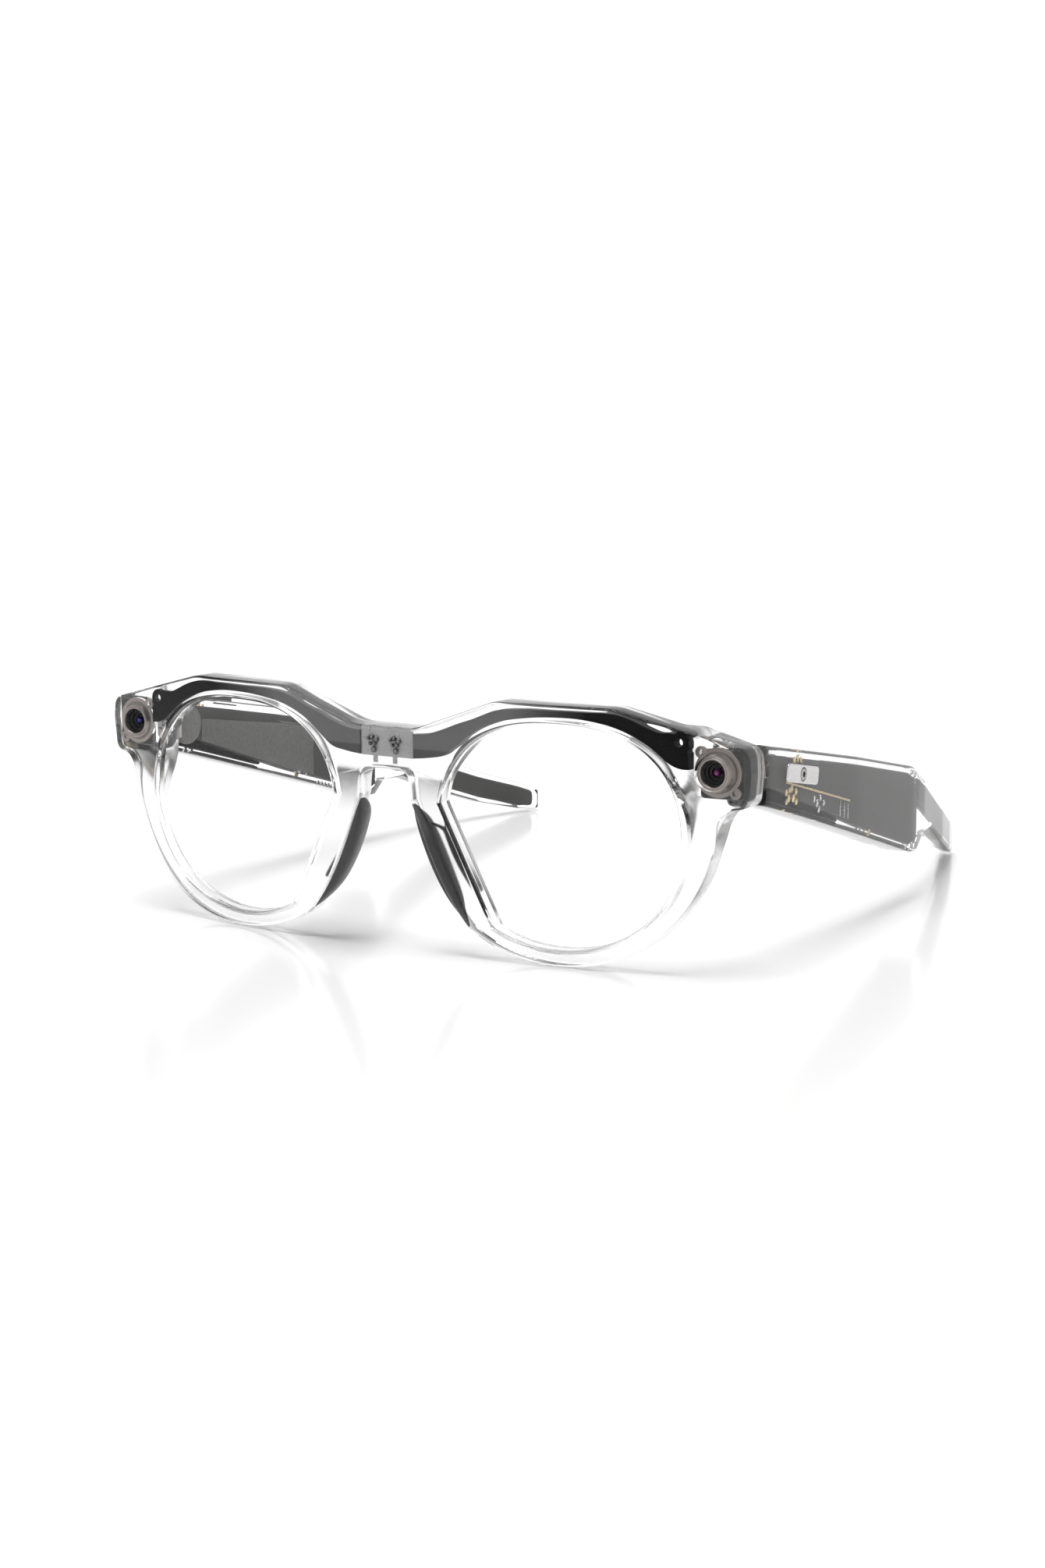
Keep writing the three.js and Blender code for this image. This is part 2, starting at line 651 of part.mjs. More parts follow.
const battery = () => inWell(57.5, 89.5, 0.2, 2.9);
const circuitBoard = () => inWell(30.5, 56, 1.6, 2.4);

const innerCover = (extra) =>
  cut(
    armBlock(tight, (a) => ({
      x0: a.inner,
      x1: a.inner + COVER_THICK,
      z0: a.bottom + TRAY_EDGE,
      z1: a.top - TRAY_EDGE,
    })),
    ...extra,
  );

// The speaker fills the open corner under the tray.
const speaker = () =>
  armBlock([33, 46], (a, y) => ({
    x0: a.inner + 2.0,
    x1: a.outer - TRAY_X.outer,
    z0: a.bottom + TRAY_EDGE,
    z1: trayBottom(y, 0) - GAP,
  }));

// The antenna: a sloping gold strip outside the tray, with a feed pad at its front and a bar at its end.
function antenna() {
  const x = (a) => ({ x0: a.outer - SHELL_WALL - 0.8, x1: a.outer - SHELL_WALL - 0.5 });
  const line = (y) => THREE.MathUtils.mapLinear(y, 31, 61, 33.8, 25.8);
  const trace = armBlock([30.5, 40, 52, 61], (a, y) => ({ ...x(a), z0: line(y) - 0.35, z1: line(y) + 0.35 }));
  const feed = armBlock([31.5, 36.5], (a, y) => ({ ...x(a), z0: line(y) - 3.2, z1: line(y) + 0.1 }));
  const end = armBlock([60, 61], (a, y) => ({ ...x(a), z0: line(y) - 3.4, z1: line(y) + 0.1 }));
  return join(trace, feed, end);
}

// The hinge-side badge: a plain plate with round corners and a socket screw, sunk in the temple's outer face.
const BADGE = { y: 33.4, z: 35.4, half: 6.9, high: 1.8, corner: 0.9, slope: -0.186 };
const BADGE_SCREW = { head: 1.2, socket: 0.6 };

function badgePlate(grow, x0, x1) {
  const w = BADGE.half + grow;
  const h = BADGE.high + grow;
  const r = BADGE.corner + grow;
  const shape = new THREE.Shape();
  shape.moveTo(-w + r, -h);
  shape.lineTo(w - r, -h);
  shape.quadraticCurveTo(w, -h, w, -h + r);
  shape.lineTo(w, h - r);
  shape.quadraticCurveTo(w, h, w - r, h);
  shape.lineTo(-w + r, h);
  shape.quadraticCurveTo(-w, h, -w, h - r);
  shape.lineTo(-w, -h + r);
  shape.quadraticCurveTo(-w, -h, -w + r, -h);
  const plate = new THREE.ExtrudeGeometry(shape, {
    depth: x1 - x0,
    bevelEnabled: false,
    curveSegments: 4,
  });
  // The plate's length runs along +Y and its thickness along +X.
  plate.rotateY(Math.PI / 2).rotateX(Math.PI / 2);
  return plate.rotateX(Math.atan(BADGE.slope)).translate(x0, BADGE.y, BADGE.z);
}

const postX = (y, z, r, x0, x1, sides = 16) =>
  new THREE.CylinderGeometry(r, r, x1 - x0, sides)
    .rotateZ(Math.PI / 2)
    .translate((x0 + x1) / 2, y, z);

const badgeX = [72.0, 72.75];
const badgeSeat = () => badgePlate(GAP, badgeX[0] - GAP, 76);
const badge = () =>
  cut(badgePlate(0, ...badgeX), postX(BADGE.y, BADGE.z, BADGE_SCREW.head + GAP, 70, 76, 20));
function badgeScrew() {
  const head = postX(BADGE.y, BADGE.z, BADGE_SCREW.head, badgeX[0], badgeX[1] + 0.1, 20);
  const socket = new THREE.CylinderGeometry(BADGE_SCREW.socket, BADGE_SCREW.socket, 1, 6)
    .rotateZ(Math.PI / 2)
    .translate(badgeX[1] + 0.1, BADGE.y, BADGE.z);
  return cut(head, socket);
}

// The capture button, in a slot through the top of the right temple.
const BUTTON = { y0: 36, y1: 44, x0: 66.9, x1: 70.1, low: 1.0, proud: 0.7 };
const buttonBlock = (grow, low, proud) =>
  armBlock([BUTTON.y0 - grow, BUTTON.y1 + grow], (a) => ({
    x0: BUTTON.x0 - grow,
    x1: BUTTON.x1 + grow,
    z0: a.top - low,
    z1: a.top + proud,
  }));
const captureButton = () => buttonBlock(0, BUTTON.low, BUTTON.proud);
const buttonSlot = () => buttonBlock(GAP, 3, 3);

// The power switch, in a slot through the left temple's inner cover.
const SWITCH = { y: 47, z: 30.5, half: 1.6, high: 0.9, travel: 2 };
const switchBlock = (grow, travel, x0, x1) =>
  box(
    x0,
    x1,
    SWITCH.y - SWITCH.half - grow,
    SWITCH.y + SWITCH.half + travel + grow,
    SWITCH.z - SWITCH.high - grow,
    SWITCH.z + SWITCH.high + grow,
  );
const powerSwitch = () => switchBlock(0, 0, 63.9, 65.7);
const switchSlot = () => switchBlock(GAP, SWITCH.travel, 60, 67);

const touchStrip = () =>
  armBlock([48, 60, 74, 88], (a) => ({
    x0: a.outer - SHELL_WALL - 0.8,
    x1: a.outer - SHELL_WALL - 0.5,
    z0: a.bottom + 8.2,
    z1: a.top - TRAY_EDGE - 1.0,
  }));

// ---- Assembly ----
const glasses = new THREE.Group();

function add(name, geometry, material) {
  const clean = geometry.index ? geometry.toNonIndexed() : geometry.clone();
  for (const key of Object.keys(clean.attributes)) if (key !== "position") clean.deleteAttribute(key);
  clean.computeVertexNormals();
  const mesh = new THREE.Mesh(clean, materials[material]);
  mesh.name = name;
  glasses.add(mesh);
}

function addPair(name, geometry, material) {
  add(name + "_left", geometry, material);
  add(name + "_right", mirrored(geometry), material);
}

add("front_frame", frontFrame(), "clear");
add("brow_back_cover", browCover(), "clear");
addPair("brow_plate", browPlate(), "soot");
addPair("lens", lens(), "clear");
addPair("nose_pad", nosePad(), "rubber");
add("charge_block", chargeBlock(), "smoke");
contactPlaces.forEach((place, i) => add("charge_contact_" + (i + 1), contact(place), "gold"));
addPair("eye_bracket", eyeBracket(), "taupe");
addPair("eye_barrel", eyeBarrel(), "soot");
addPair("eye_glass", eyeGlass(), "black");
addPair("eye_board", eyeBoard(), "board");
addPair("hinge_front", hingeFront(), "steel");
addPair("hinge_screw", hingeScrew(), "steel");

add("temple_shell_left", templeShell([badgeSeat()]), "clear");
add("temple_shell_right", mirrored(templeShell([badgeSeat(), buttonSlot()])), "clear");
add("inner_cover_left", innerCover([switchSlot()]), "clear");
add("inner_cover_right", mirrored(innerCover([])), "clear");
addPair("electronics_tray", tray(), "graphite");
addPair("arm_core", armCore(), "graphite");
addPair("battery", battery(), "cell");
addPair("circuit_board", circuitBoard(), "board");
addPair("speaker", speaker(), "soot");
addPair("antenna", antenna(), "gold");
addPair("hinge_temple", hingeTemple(), "steel");
addPair("badge", badge(), "steel");
addPair("badge_screw", badgeScrew(), "steel");
add("touch_strip_right", mirrored(touchStrip()), "graphite");
add("power_switch", powerSwitch(), "graphite");
add("capture_button", mirrored(captureButton()), "graphite");

// The origin is in the middle of the glasses' length, on the surface that they stand on.
const extent = new THREE.Box3().setFromObject(glasses);
glasses.position.y = -(extent.min.y + extent.max.y) / 2;
glasses.updateMatrixWorld(true);

export default glasses;
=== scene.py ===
"""Smart glasses: the looks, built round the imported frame.

Lengths are in millimetres until make() turns them to metres.
"""

import math

import bmesh
import bpy
import numpy as np
from mathutils import Matrix, Vector


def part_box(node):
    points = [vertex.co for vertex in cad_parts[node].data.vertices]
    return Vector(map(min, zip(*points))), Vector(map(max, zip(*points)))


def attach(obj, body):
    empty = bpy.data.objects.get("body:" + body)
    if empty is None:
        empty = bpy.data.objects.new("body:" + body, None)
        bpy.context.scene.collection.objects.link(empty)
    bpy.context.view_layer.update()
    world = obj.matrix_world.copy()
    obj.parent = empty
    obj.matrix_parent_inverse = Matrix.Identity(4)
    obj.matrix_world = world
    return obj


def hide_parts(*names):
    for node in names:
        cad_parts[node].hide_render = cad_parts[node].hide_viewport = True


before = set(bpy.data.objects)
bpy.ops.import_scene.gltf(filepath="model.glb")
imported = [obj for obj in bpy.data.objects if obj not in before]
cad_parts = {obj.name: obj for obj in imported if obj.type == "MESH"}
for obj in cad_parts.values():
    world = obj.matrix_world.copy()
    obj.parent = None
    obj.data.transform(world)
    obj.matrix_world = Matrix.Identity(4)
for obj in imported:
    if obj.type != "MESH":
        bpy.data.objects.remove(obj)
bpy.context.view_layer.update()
MM = 0.001
GAP = 0.04  # how much smaller a cavity is than the piece it holds, so that no air shows between them
SCENE = bpy.context.scene
SIDES = (("left", 1), ("right", -1))

# ---- Shape of the front, as in the CAD source ----
WRAP_R, LEAN, LEAN_Z = 257.0, 0.026, 28.0
RIM_DEPTH, BROW_DEPTH, END_BACK = 4.6, 6.2, 17.2
BROW_TOP, BRIDGE_TOP, ARCH_TOP = 49.5, 43.2, 35.1
LENS_X, LENS_Z, LENS_A, LENS_UP, LENS_DOWN = 35.9, 24.6, 24.1, 21.4, 21.5
NASAL_LOW, NASAL_HIGH = np.array([23.0, 6.3]), np.array([11.8, 29.6])
LENS_POWER_UP, LENS_POWER_DOWN = 2.4, 2.05
# Where the front grows deeper: up to the brow, and outwards and upwards to the end pieces.
BROW_STEP, END_STEP_X, END_STEP_Z = (33, 40), (58.0, 61.0), (22.0, 32.5)
EYE_X, EYE_Z = 65.9, 38.3
TIP_Y = 150.1
# The curve of the nasal wall, from its top down.
NASAL = [(5.9, 28.9), (9.2, 21.0), (12.0, 12.4), (18.0, 5.7)]
# Origin of the CAD source's own drawing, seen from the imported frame.
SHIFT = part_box("temple_shell_left")[1].y / MM - TIP_Y

# Along a temple: place, top, bottom, outer side, inner side.
ARM = np.array(
    [
        [17.8, 42.9, 31.7, 72.3, 64.8],
        [32.0, 40.3, 27.8, 72.6, 64.7],
        [60.0, 35.1, 19.8, 72.2, 64.3],
        [90.0, 29.0, 11.1, 71.0, 63.2],
        [93.0, 27.8, 10.7, 70.7, 62.9],
        [97.5, 25.4, 13.8, 70.3, 63.0],
        [106.0, 21.6, 13.4, 68.5, 62.9],
        [118.0, 16.4, 8.6, 65.9, 61.3],
        [132.0, 11.2, 3.9, 61.9, 57.9],
        [144.0, 7.2, 0.9, 57.6, 54.1],
        [150.1, 4.9, 0.0, 55.3, 52.3],
    ]
)


def step(a, b, x):
    """Rises smoothly from 0 at a to 1 at b."""
    t = np.clip((np.asarray(x, float) - a) / (b - a), 0, 1)
    return t * t * (3 - 2 * t)


def front_y(x, z):
    return x * x / (2 * WRAP_R) - (z - LEAN_Z) * LEAN + 1


def back_y(x, z):
    depth = RIM_DEPTH + (BROW_DEPTH - RIM_DEPTH) * step(*BROW_STEP, z)
    plain = front_y(x, z) + depth
    return plain + (END_BACK - plain) * step(*END_STEP_X, x) * step(*END_STEP_Z, z)


def lens_edge(angle, grow=0.0):
    """Points (x, z) of the lens opening at these angles, grown outwards."""
    angle = np.asarray(angle, float)
    c, s = np.cos(angle), np.sin(angle)
    power = np.where(s > 0, LENS_POWER_UP, LENS_POWER_DOWN)
    b = np.where(s > 0, LENS_UP, LENS_DOWN)
    reach = (np.abs(c / LENS_A) ** power + np.abs(s / b) ** power) ** (-1 / power) + grow
    p = np.stack([LENS_X + c * reach, LENS_Z + s * reach], -1)
    along = (NASAL_HIGH - NASAL_LOW) / np.linalg.norm(NASAL_HIGH - NASAL_LOW)
    outward = np.array([-along[1], along[0]])
    past = np.maximum((p - NASAL_LOW) @ outward - grow, 0)
    return p - past[..., None] * outward


def curve(points, steps):
    """A Bezier curve of any order as points, without its first one."""
    t = np.linspace(0, 1, steps + 1)[1:, None]
    n = len(points) - 1
    return sum(
        math.comb(n, k) * (1 - t) ** (n - k) * t**k * np.array(p, float)
        for k, p in enumerate(points)
    )


def outer_path(spacing=0.6):
    """Half of the front's outline: bridge top, brow, end piece, rim, nose and arch.

    Each run goes on from the last point of the one before.
    """
    runs = [
        [(5, BRIDGE_TOP)],
        [(6.6, BRIDGE_TOP), (8.2, 43.7)],
        [(22.6, 49.0)],
        [(23.7, BROW_TOP), (25.2, BROW_TOP)],
        [(45.6, BROW_TOP - 0.1)],
        [(46.9, BROW_TOP - 0.1), (48.2, 49.1)],
        [(70.6, 43.1)],
        [(72.0, 42.6), (72.4, 41.2)],
        [(72.7, 38.5)],
        [(72.2, 33.4)],
        [(71.9, 31.8), (70.2, 31.7)],
        [(67.0, 31.3), (66.5, 27.5)],
        [(65.4, 14.6), (55.2, 0.0), (37.0, 0.0)],
        [(25.6, 0.0), NASAL[3]],
        [NASAL[2], NASAL[1], NASAL[0]],
        [(5.5, 32.6)],
        [(5.3, 34.8), (3.6, 34.95)],
        [(0, ARCH_TOP)],
    ]
    last = (0, BRIDGE_TOP)
    path = [np.array([last], float)]
    for run in runs:
        run = [last, *run]
        length = sum(math.dist(a, b) for a, b in zip(run, run[1:]))
        least = 5 if len(run) > 2 else 1
        path.append(curve(run, max(least, math.ceil(length / spacing))))
        last = run[-1]
    return np.concatenate(path)


def inset(path, distance):
    """The path moved to its inner side. Its ends stay on the middle plane."""
    before = np.concatenate([path[:1], path[:-1]])
    after = np.concatenate([path[1:], path[-1:]])
    run = after - before
    run /= np.linalg.norm(run, axis=1)[:, None]
    moved = path + np.stack([run[:, 1], -run[:, 0]], 1) * distance
    moved[0, 0] = moved[-1, 0] = 0
    return moved


# ---- Meshes ----
class Build:
    """Collects rows of points and the quads between them."""

    def __init__(self):
        self.verts, self.faces = [], []

    def rows(self, rows, closed=False):
        rows = [np.asarray(r, float) for r in rows]
        width, base = len(rows[0]), len(self.verts)
        for r in rows:
            self.verts.extend(r.tolist())
        for i in range(len(rows) - 1):
            for c in range(width if closed else width - 1):
                d = (c + 1) % width
                a = base + i * width
                self.faces.append((a + c, a + d, a + width + d, a + width + c))

    def cap(self, ring):
        base = len(self.verts)
        self.verts.extend(np.asarray(ring, float).tolist())
        self.faces.append(tuple(range(base, base + len(ring))))

    def mirror(self):
        base = len(self.verts)
        self.verts += [(-x, y, z) for x, y, z in self.verts]
        self.faces += [tuple(base + i for i in reversed(f)) for f in self.faces]

    def flipped(self):
        """The same shape on the other side of the middle plane."""
        other = Build()
        other.verts, other.faces = [(-x, y, z) for x, y, z in self.verts], self.faces
        return other


def make(name, build, material, body=None, side=1, stands_for=(), slot=None, sharp=35, plus=(), less=()):
    """A piece from a Build, with other builds joined on or cut away, in metres and riding on its body."""
    mesh = bpy.data.meshes.new(name)
    verts = [(x * side * MM, (y + SHIFT) * MM, z * MM) for x, y, z in build.verts]
    mesh.from_pydata(verts, [], build.faces)
    bm = bmesh.new()
    bm.from_mesh(mesh)
    bmesh.ops.remove_doubles(bm, verts=bm.verts, dist=2e-6)
    bmesh.ops.dissolve_degenerate(bm, edges=bm.edges, dist=1e-7)
    bmesh.ops.recalc_face_normals(bm, faces=bm.faces)
    bm.to_mesh(mesh)
    bm.free()
    obj = bpy.data.objects.new(name, mesh)
    SCENE.collection.objects.link(obj)
    for operation, builds in (("UNION", plus), ("DIFFERENCE", less)):
        for other in builds:
            combine(obj, make("tool", other, None, side=side), operation)
    mesh = obj.data
    mesh.polygons.foreach_set("use_smooth", [True] * len(mesh.polygons))
    mesh.set_sharp_from_angle(angle=math.radians(sharp))
    if material:
        mesh.materials.append(material)
    if body:
        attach(obj, body)
    if stands_for:
        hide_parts(*stands_for)
    return obj


def combine(obj, tool, operation):
    """Joins a tool to a mesh or cuts it away, and removes the tool."""
    modifier = obj.modifiers.new("Boolean", "BOOLEAN")
    modifier.object = tool
    modifier.operation = operation
    modifier.solver = "EXACT"
    graph = bpy.context.evaluated_depsgraph_get()
    graph.update()
    mesh = bpy.data.meshes.new_from_object(obj.evaluated_get(graph))
    obj.modifiers.clear()
    old, obj.data = obj.data, mesh
    bpy.data.meshes.remove(old)
    bpy.data.objects.remove(tool)


def curve_through(table, xs):
    """Smooth values between the table's rows: its first column is x."""
    table = np.array(table, float)
    x, values = table[:, 0], table[:, 1:]
    slope = np.gradient(values, x, axis=0)
    i = np.clip(np.searchsorted(x, xs) - 1, 0, len(x) - 2)
    width = (x[i + 1] - x[i])[:, None]
    t = (xs - x[i])[:, None] / width
    near = (1 + 2 * t) * (1 - t) ** 2 * values[i] + t * (1 - t) ** 2 * width * slope[i]
    return near + t * t * (3 - 2 * t) * values[i + 1] + t * t * (t - 1) * width * slope[i + 1]


def lofted(sections):
    """Closed rings joined in order, with both ends closed."""
    build = Build()
    build.rows(sections, closed=True)
    build.cap(sections[0])
    build.cap(sections[-1])
    return build


def turned(profile, x, z, turns=96):
    """The rings of a profile of (radius, y) turned about an axis along Y."""
    a = np.linspace(0, 2 * np.pi, turns, endpoint=False)
    return [
        np.stack([x + r * np.cos(a), np.full(turns, float(y)), z + r * np.sin(a)], 1)
        for r, y in profile
    ]


def lathe(profile, x, z, turns=96):
    """A turned profile with both ends closed."""
    return lofted(turned(profile, x, z, turns))


def lathe_x(profile, y, z, turns=64):
    """The same about an axis along X, with a profile of (radius, x)."""
    return lofted([ring[:, [1, 0, 2]] for ring in turned(profile, y, z, turns)])


def ringed(profile, x, z):
    """A closed profile of (radius, y) turned about an axis along Y, open in the middle."""
    build = Build()
    build.rows(turned(profile, x, z), closed=True)
    return build


def rounded(profile, radius, steps=4):
    """A profile with its inner corners turned into arcs."""
    out = [np.array(profile[0], float)]
    for a, b, c in zip(profile, profile[1:], profile[2:]):
        a, b, c = (np.array(p, float) for p in (a, b, c))
        before, after = a - b, c - b
        reach = min(radius, np.linalg.norm(before) * 0.45, np.linalg.norm(after) * 0.45)
        start = b + before / np.linalg.norm(before) * reach
        end = b + after / np.linalg.norm(after) * reach
        out.append(start)
        out.extend(curve([start, b, end], steps))
    out.append(np.array(profile[-1], float))
    return out


def round_rect(x0, x1, z0, z1, radius, steps=4):
    """The corners of a rectangle as arcs, as one ring of (x, z)."""
    radius = min(radius, (x1 - x0) * 0.49, (z1 - z0) * 0.49)
    turn = np.linspace(0, np.pi / 2, steps + 1)
    ring = []
    for k, (cx, cz) in enumerate([(x1, z1), (x0, z1), (x0, z0), (x1, z0)]):
        mx = cx - math.copysign(radius, cx - (x0 + x1) / 2)
        mz = cz - math.copysign(radius, cz - (z0 + z1) / 2)
        for a in turn + k * np.pi / 2:
            ring.append((mx + radius * math.cos(a), mz + radius * math.sin(a)))
    return ring


# ---- The clear front ----
EDGE = 0.5
# The lens groove: its depths behind the face, and how deep it is cut below and at the brow.
GROOVE_START, GROOVE_END, GROOVE_OUT, GROOVE_BROW = 0.9, 3.1, 0.9, 0.05
GROOVE_FADE = (0.15, 0.5)


def grooved(angle):
    """1 where the lens opening has its full groove, 0 under the brow."""
    return 1 - step(*GROOVE_FADE, np.sin(angle))


def front_half():
    """One half of the front: rows of closed loops round the lens, from the face to the back."""
    outer = outer_path(0.5)
    z_low, z_high = ARCH_TOP + EDGE, BRIDGE_TOP - EDGE
    column = np.stack([np.zeros(12), np.linspace(z_low, z_high, 14)[1:-1]], 1)

    def ring(distance):
        return np.concatenate([inset(outer, distance) if distance else outer, column])

    edge = ring(EDGE)
    angles, last = [], math.pi
    for x, z in edge:
        turn = math.atan2(z - LENS_Z, x - LENS_X)
        while turn > last + 1:
            turn -= 2 * math.pi
        last = min(turn, last - 0.0005)
        angles.append(last)
    angles = np.array(angles)

    def placed(points, y_of, depth):
        points = np.asarray(points)
        y = y_of(points[:, 0], points[:, 1]) + depth
        return np.stack([points[:, 0], y, points[:, 1]], 1)

    def eased(edge_of, y_of, a, sign):
        """A row of a rounded edge, part way round its quarter turn."""
        return placed(edge_of(EDGE * (1 - math.sin(a))), y_of, sign * EDGE * (1 - math.cos(a)))

    def lens_side(grow):
        return lens_edge(angles, grow)

    def outer_side(distance):
        return inset(outer, distance)

    bends = np.linspace(0, math.pi / 2, 6)
    lens_in = lens_edge(angles, EDGE)
    skin = [edge + (lens_in - edge) * t for t in np.linspace(0, 1, 24)]
    groove = lens_edge(angles, (GROOVE_BROW + (GROOVE_OUT - GROOVE_BROW) * grooved(angles)))
    plain = lens_edge(angles)
    rows = [placed(p, front_y, 0) for p in skin]
    rows += [eased(lens_side, front_y, a, 1) for a in bends[1:]]
    rows += [
        placed(plain, front_y, GROOVE_START + 0.05),
        placed(groove, front_y, GROOVE_START + 0.2),
        placed(groove, front_y, GROOVE_END - 0.2),
        placed(plain, front_y, GROOVE_END),
    ]
    rows += [eased(lens_side, back_y, a, -1) for a in bends[::-1][:-1]]
    rows += [placed(p, back_y, 0) for p in skin[::-1]]
    build = Build()
    build.rows(rows, closed=True)
    wall = [eased(outer_side, front_y, a, 1) for a in bends]
    wall += [eased(outer_side, back_y, a, -1) for a in bends[::-1]]
    build.rows(wall)
    build.mirror()
    return build


EYE_BORE = 3.3
BRACKET_R, BRACKET_Y = 4.65, (11.6, 12.4)
EARS = ((62.5, 41.9), (69.4, 34.7))
# Blocks as x0, x1, y0, y1, z0, z1.
HOUSING = (62.0, 70.9, 12.3, 15.65, 33.3, 42.4)
HOUSING_CAVITY = (62.04, 70.86, 12.34, 15.7, 33.34, 42.36)
HOUSING_POCKET = (62.15, 70.45, 14.5, HOUSING[3] + 1, 34.05, 41.85)
BACK_CAVITY = (61.9, 70.6, 15.6, END_BACK + 2, 33.9, 41.9)
BRIDGE_CAVITY = (-5.15, 5.15, 4.85, 12, 37.95, 41.65)


# ---- Nose pads ----
def along_nose(t, section):
    """A section of (reach towards the nose, depth behind the face) at a place down the nasal wall."""
    p = [np.array(q, float) for q in NASAL]
    here = sum(math.comb(3, k) * (1 - t) ** (3 - k) * t**k * p[k] for k in range(4))
    c = min(max(t, 0), 1)
    run = sum(math.comb(2, k) * (1 - c) ** (2 - k) * c**k * (p[k + 1] - p[k]) for k in range(3))
    run /= np.linalg.norm(run)
    reach, depth = np.array(section, float).T
    x = here[0] + run[1] * reach
    z = here[1] - run[0] * reach
    return np.stack([x, front_y(x, z) + depth, z], 1)


def pad_section(t):
    """The leaf's section, seated a little way into the rim. Both ends close to a point near the face."""
    swell = math.sin(math.pi * t**0.8) ** 0.8
    full = math.sin(min(1.0, 1.2 * swell) * math.pi / 2)
    back = 4.9 + 2.6 * swell
    corners = [
        (0.85 * swell + 0.15, 0.55),
        (1.5 * swell + 0.25, 2.3),
        (1.1 * swell + 0.25, 4.6),
        (0.1 * swell + 0.1, back),
        (-0.5 * swell - 0.1, back - 0.2),
        (-0.6 * swell - 0.1, 4.7),
        (-0.06, 4.5),
        (-0.06, 0.65),
    ]
    point = np.array([-0.04, 1.1])
    p = point + (np.array(corners) - point) * (0.04 + 0.96 * full)
    ring = []
    for k in range(len(p)):
        a, b, c = p[k - 1], p[k], p[(k + 1) % len(p)]
        ease = 0.46 if k < 5 else 0.2
        start, end = b + (a - b) * ease, b + (c - b) * ease
        ring.append(start)
        ring.extend(curve([start, b, end], 5))
    return ring


def nose_pad():
    """The soft leaf. Its ends taper to thin points."""
    stations = 0.5 - 0.488 * np.cos(np.linspace(0, math.pi, 72))
    return lofted([along_nose(t, pad_section(t)) for t in stations])


STRIP_SPAN = (0.14, 0.8)


def pad_strip():
    """The strip of the pad behind the rim's back. It leaves the leaf's top and tapers downwards."""
    sections = []
    for t in np.linspace(*STRIP_SPAN, 48):
        away = float(step(STRIP_SPAN[0], 0.28, t) + 0.3 * step(0.4, STRIP_SPAN[1], t))
        share = (t - STRIP_SPAN[0]) / (STRIP_SPAN[1] - STRIP_SPAN[0])
        size = 0.15 + 0.85 * max(math.sin(math.pi * share), 0) ** 0.5
        near, far = 0.2 * size - 1.9 * away, -0.5 * size - 2.4 * away
        back = 5.2 + 1.2 * min(away, 1)
        deep = back + 0.8 * size
        turn = 0.2 * size
        inner = [(far + turn, deep), (far, deep - turn), (far + turn, back)]
        sections.append(along_nose(t, [(near, back), (near, deep - turn), (near - turn, deep), *inner]))
    return lofted(sections)


# ---- Temples ----
SHELL_START, CORE_START, CORE_END, TIP_START, TIP_END = 17.8, 20.7, 94.2, 94.2 + 0.6, 148.3
LID, TRAY_FACE, TRAY_EDGE = 1.3, 2.5, 1.8


def arm_at(y):
    top, bottom, outer, inner = (float(np.interp(y, ARM[:, 0], ARM[:, k])) for k in (1, 2, 3, 4))
    return top, bottom, outer, inner


def arm_stations(y0, y1, spacing=3.0, bend=0.3):
    """Even places along the temple, with a close pair at each of its bends instead of one."""
    bends = [b for b in ARM[:, 0] if y0 + 1 < b < y1 - 1]
    even = np.linspace(y0, y1, max(2, int((y1 - y0) / spacing)) + 1)
    kept = [y for y in even if all(abs(y - b) > 1.0 for b in bends)]
    return sorted(kept + [b + s * bend for b in bends for s in (-1, 1)])


def arm_loft(y0, y1, edges, radius, end_radius=(0.5, 0.5), spacing=3.0, steps=4, facet=None):
    """A rounded bar inside the temple: edges gives x0, x1, z0, z1 at a place along it."""
    near, far = end_radius
    turn = [(1 - math.cos(a), 1 - math.sin(a)) for a in np.linspace(0, math.pi / 2, 4)]
    places = [(y0 + near * along, near * pull) for along, pull in turn]
    places += [(y, 0.0) for y in arm_stations(y0 + near, y1 - far, spacing)[1:-1]]
    places += [(y1 - far * along, far * pull) for along, pull in turn[::-1]]
    sections = []
    for y, pull in places:
        x0, x1, z0, z1 = edges(y)
        ring = round_rect(x0 + pull, x1 - pull, z0 + pull, z1 - pull, max(radius - pull, 0.08), steps)
        if facet:
            ring = faceted(ring, *facet(y))
        sections.append([(x, y, z) for x, z in ring])
    return lofted(sections)


def faceted(ring, tall, lean):
    """A ring of (x, z) whose outer side leans inwards over its top, and its inner side a little."""
    x = [p[0] for p in ring]
    top = max(p[1] for p in ring)
    middle = (min(x) + max(x)) / 2
    n = len(ring) // 4
    knee = top - tall
    out = []
    for k, (px, pz) in enumerate(ring):
        if k == 0:
            out.append((max(x), knee))
        rise = min(max((pz - knee) / max(tall, 0.01), 0), 1)
        out.append((px - lean * rise if px > middle else px + 0.2 * lean * rise, pz))
        if k == 2 * n - 1:
            out.append((min(x), knee))
    return out


def core_facet(y):
    """The height and lean of the core's upper facet: it is lower close to the hinge."""
    share = float(step(22, 42, y))
    return 2.0 + 1.6 * share, 1.0 + 0.5 * share


def shell_edges(y):
    top, bottom, outer, inner = arm_at(y)
    return inner, outer, bottom, top


def tray_bottom(y, bottom):
    """The tray's lower edge: a straight slope near the hinge, then the shell's own edge."""
    return max(bottom + TRAY_EDGE, 35.0 + (y - 20) * (21.0 - 35.0) / 42)


def core_edges(shrink=0.0):
    def edges(y):
        top, bottom, outer, inner = arm_at(y)
        return (
            inner + LID + shrink,
            outer - TRAY_FACE - shrink,
            tray_bottom(y, bottom) + shrink,
            top - TRAY_EDGE - shrink,
        )

    return edges


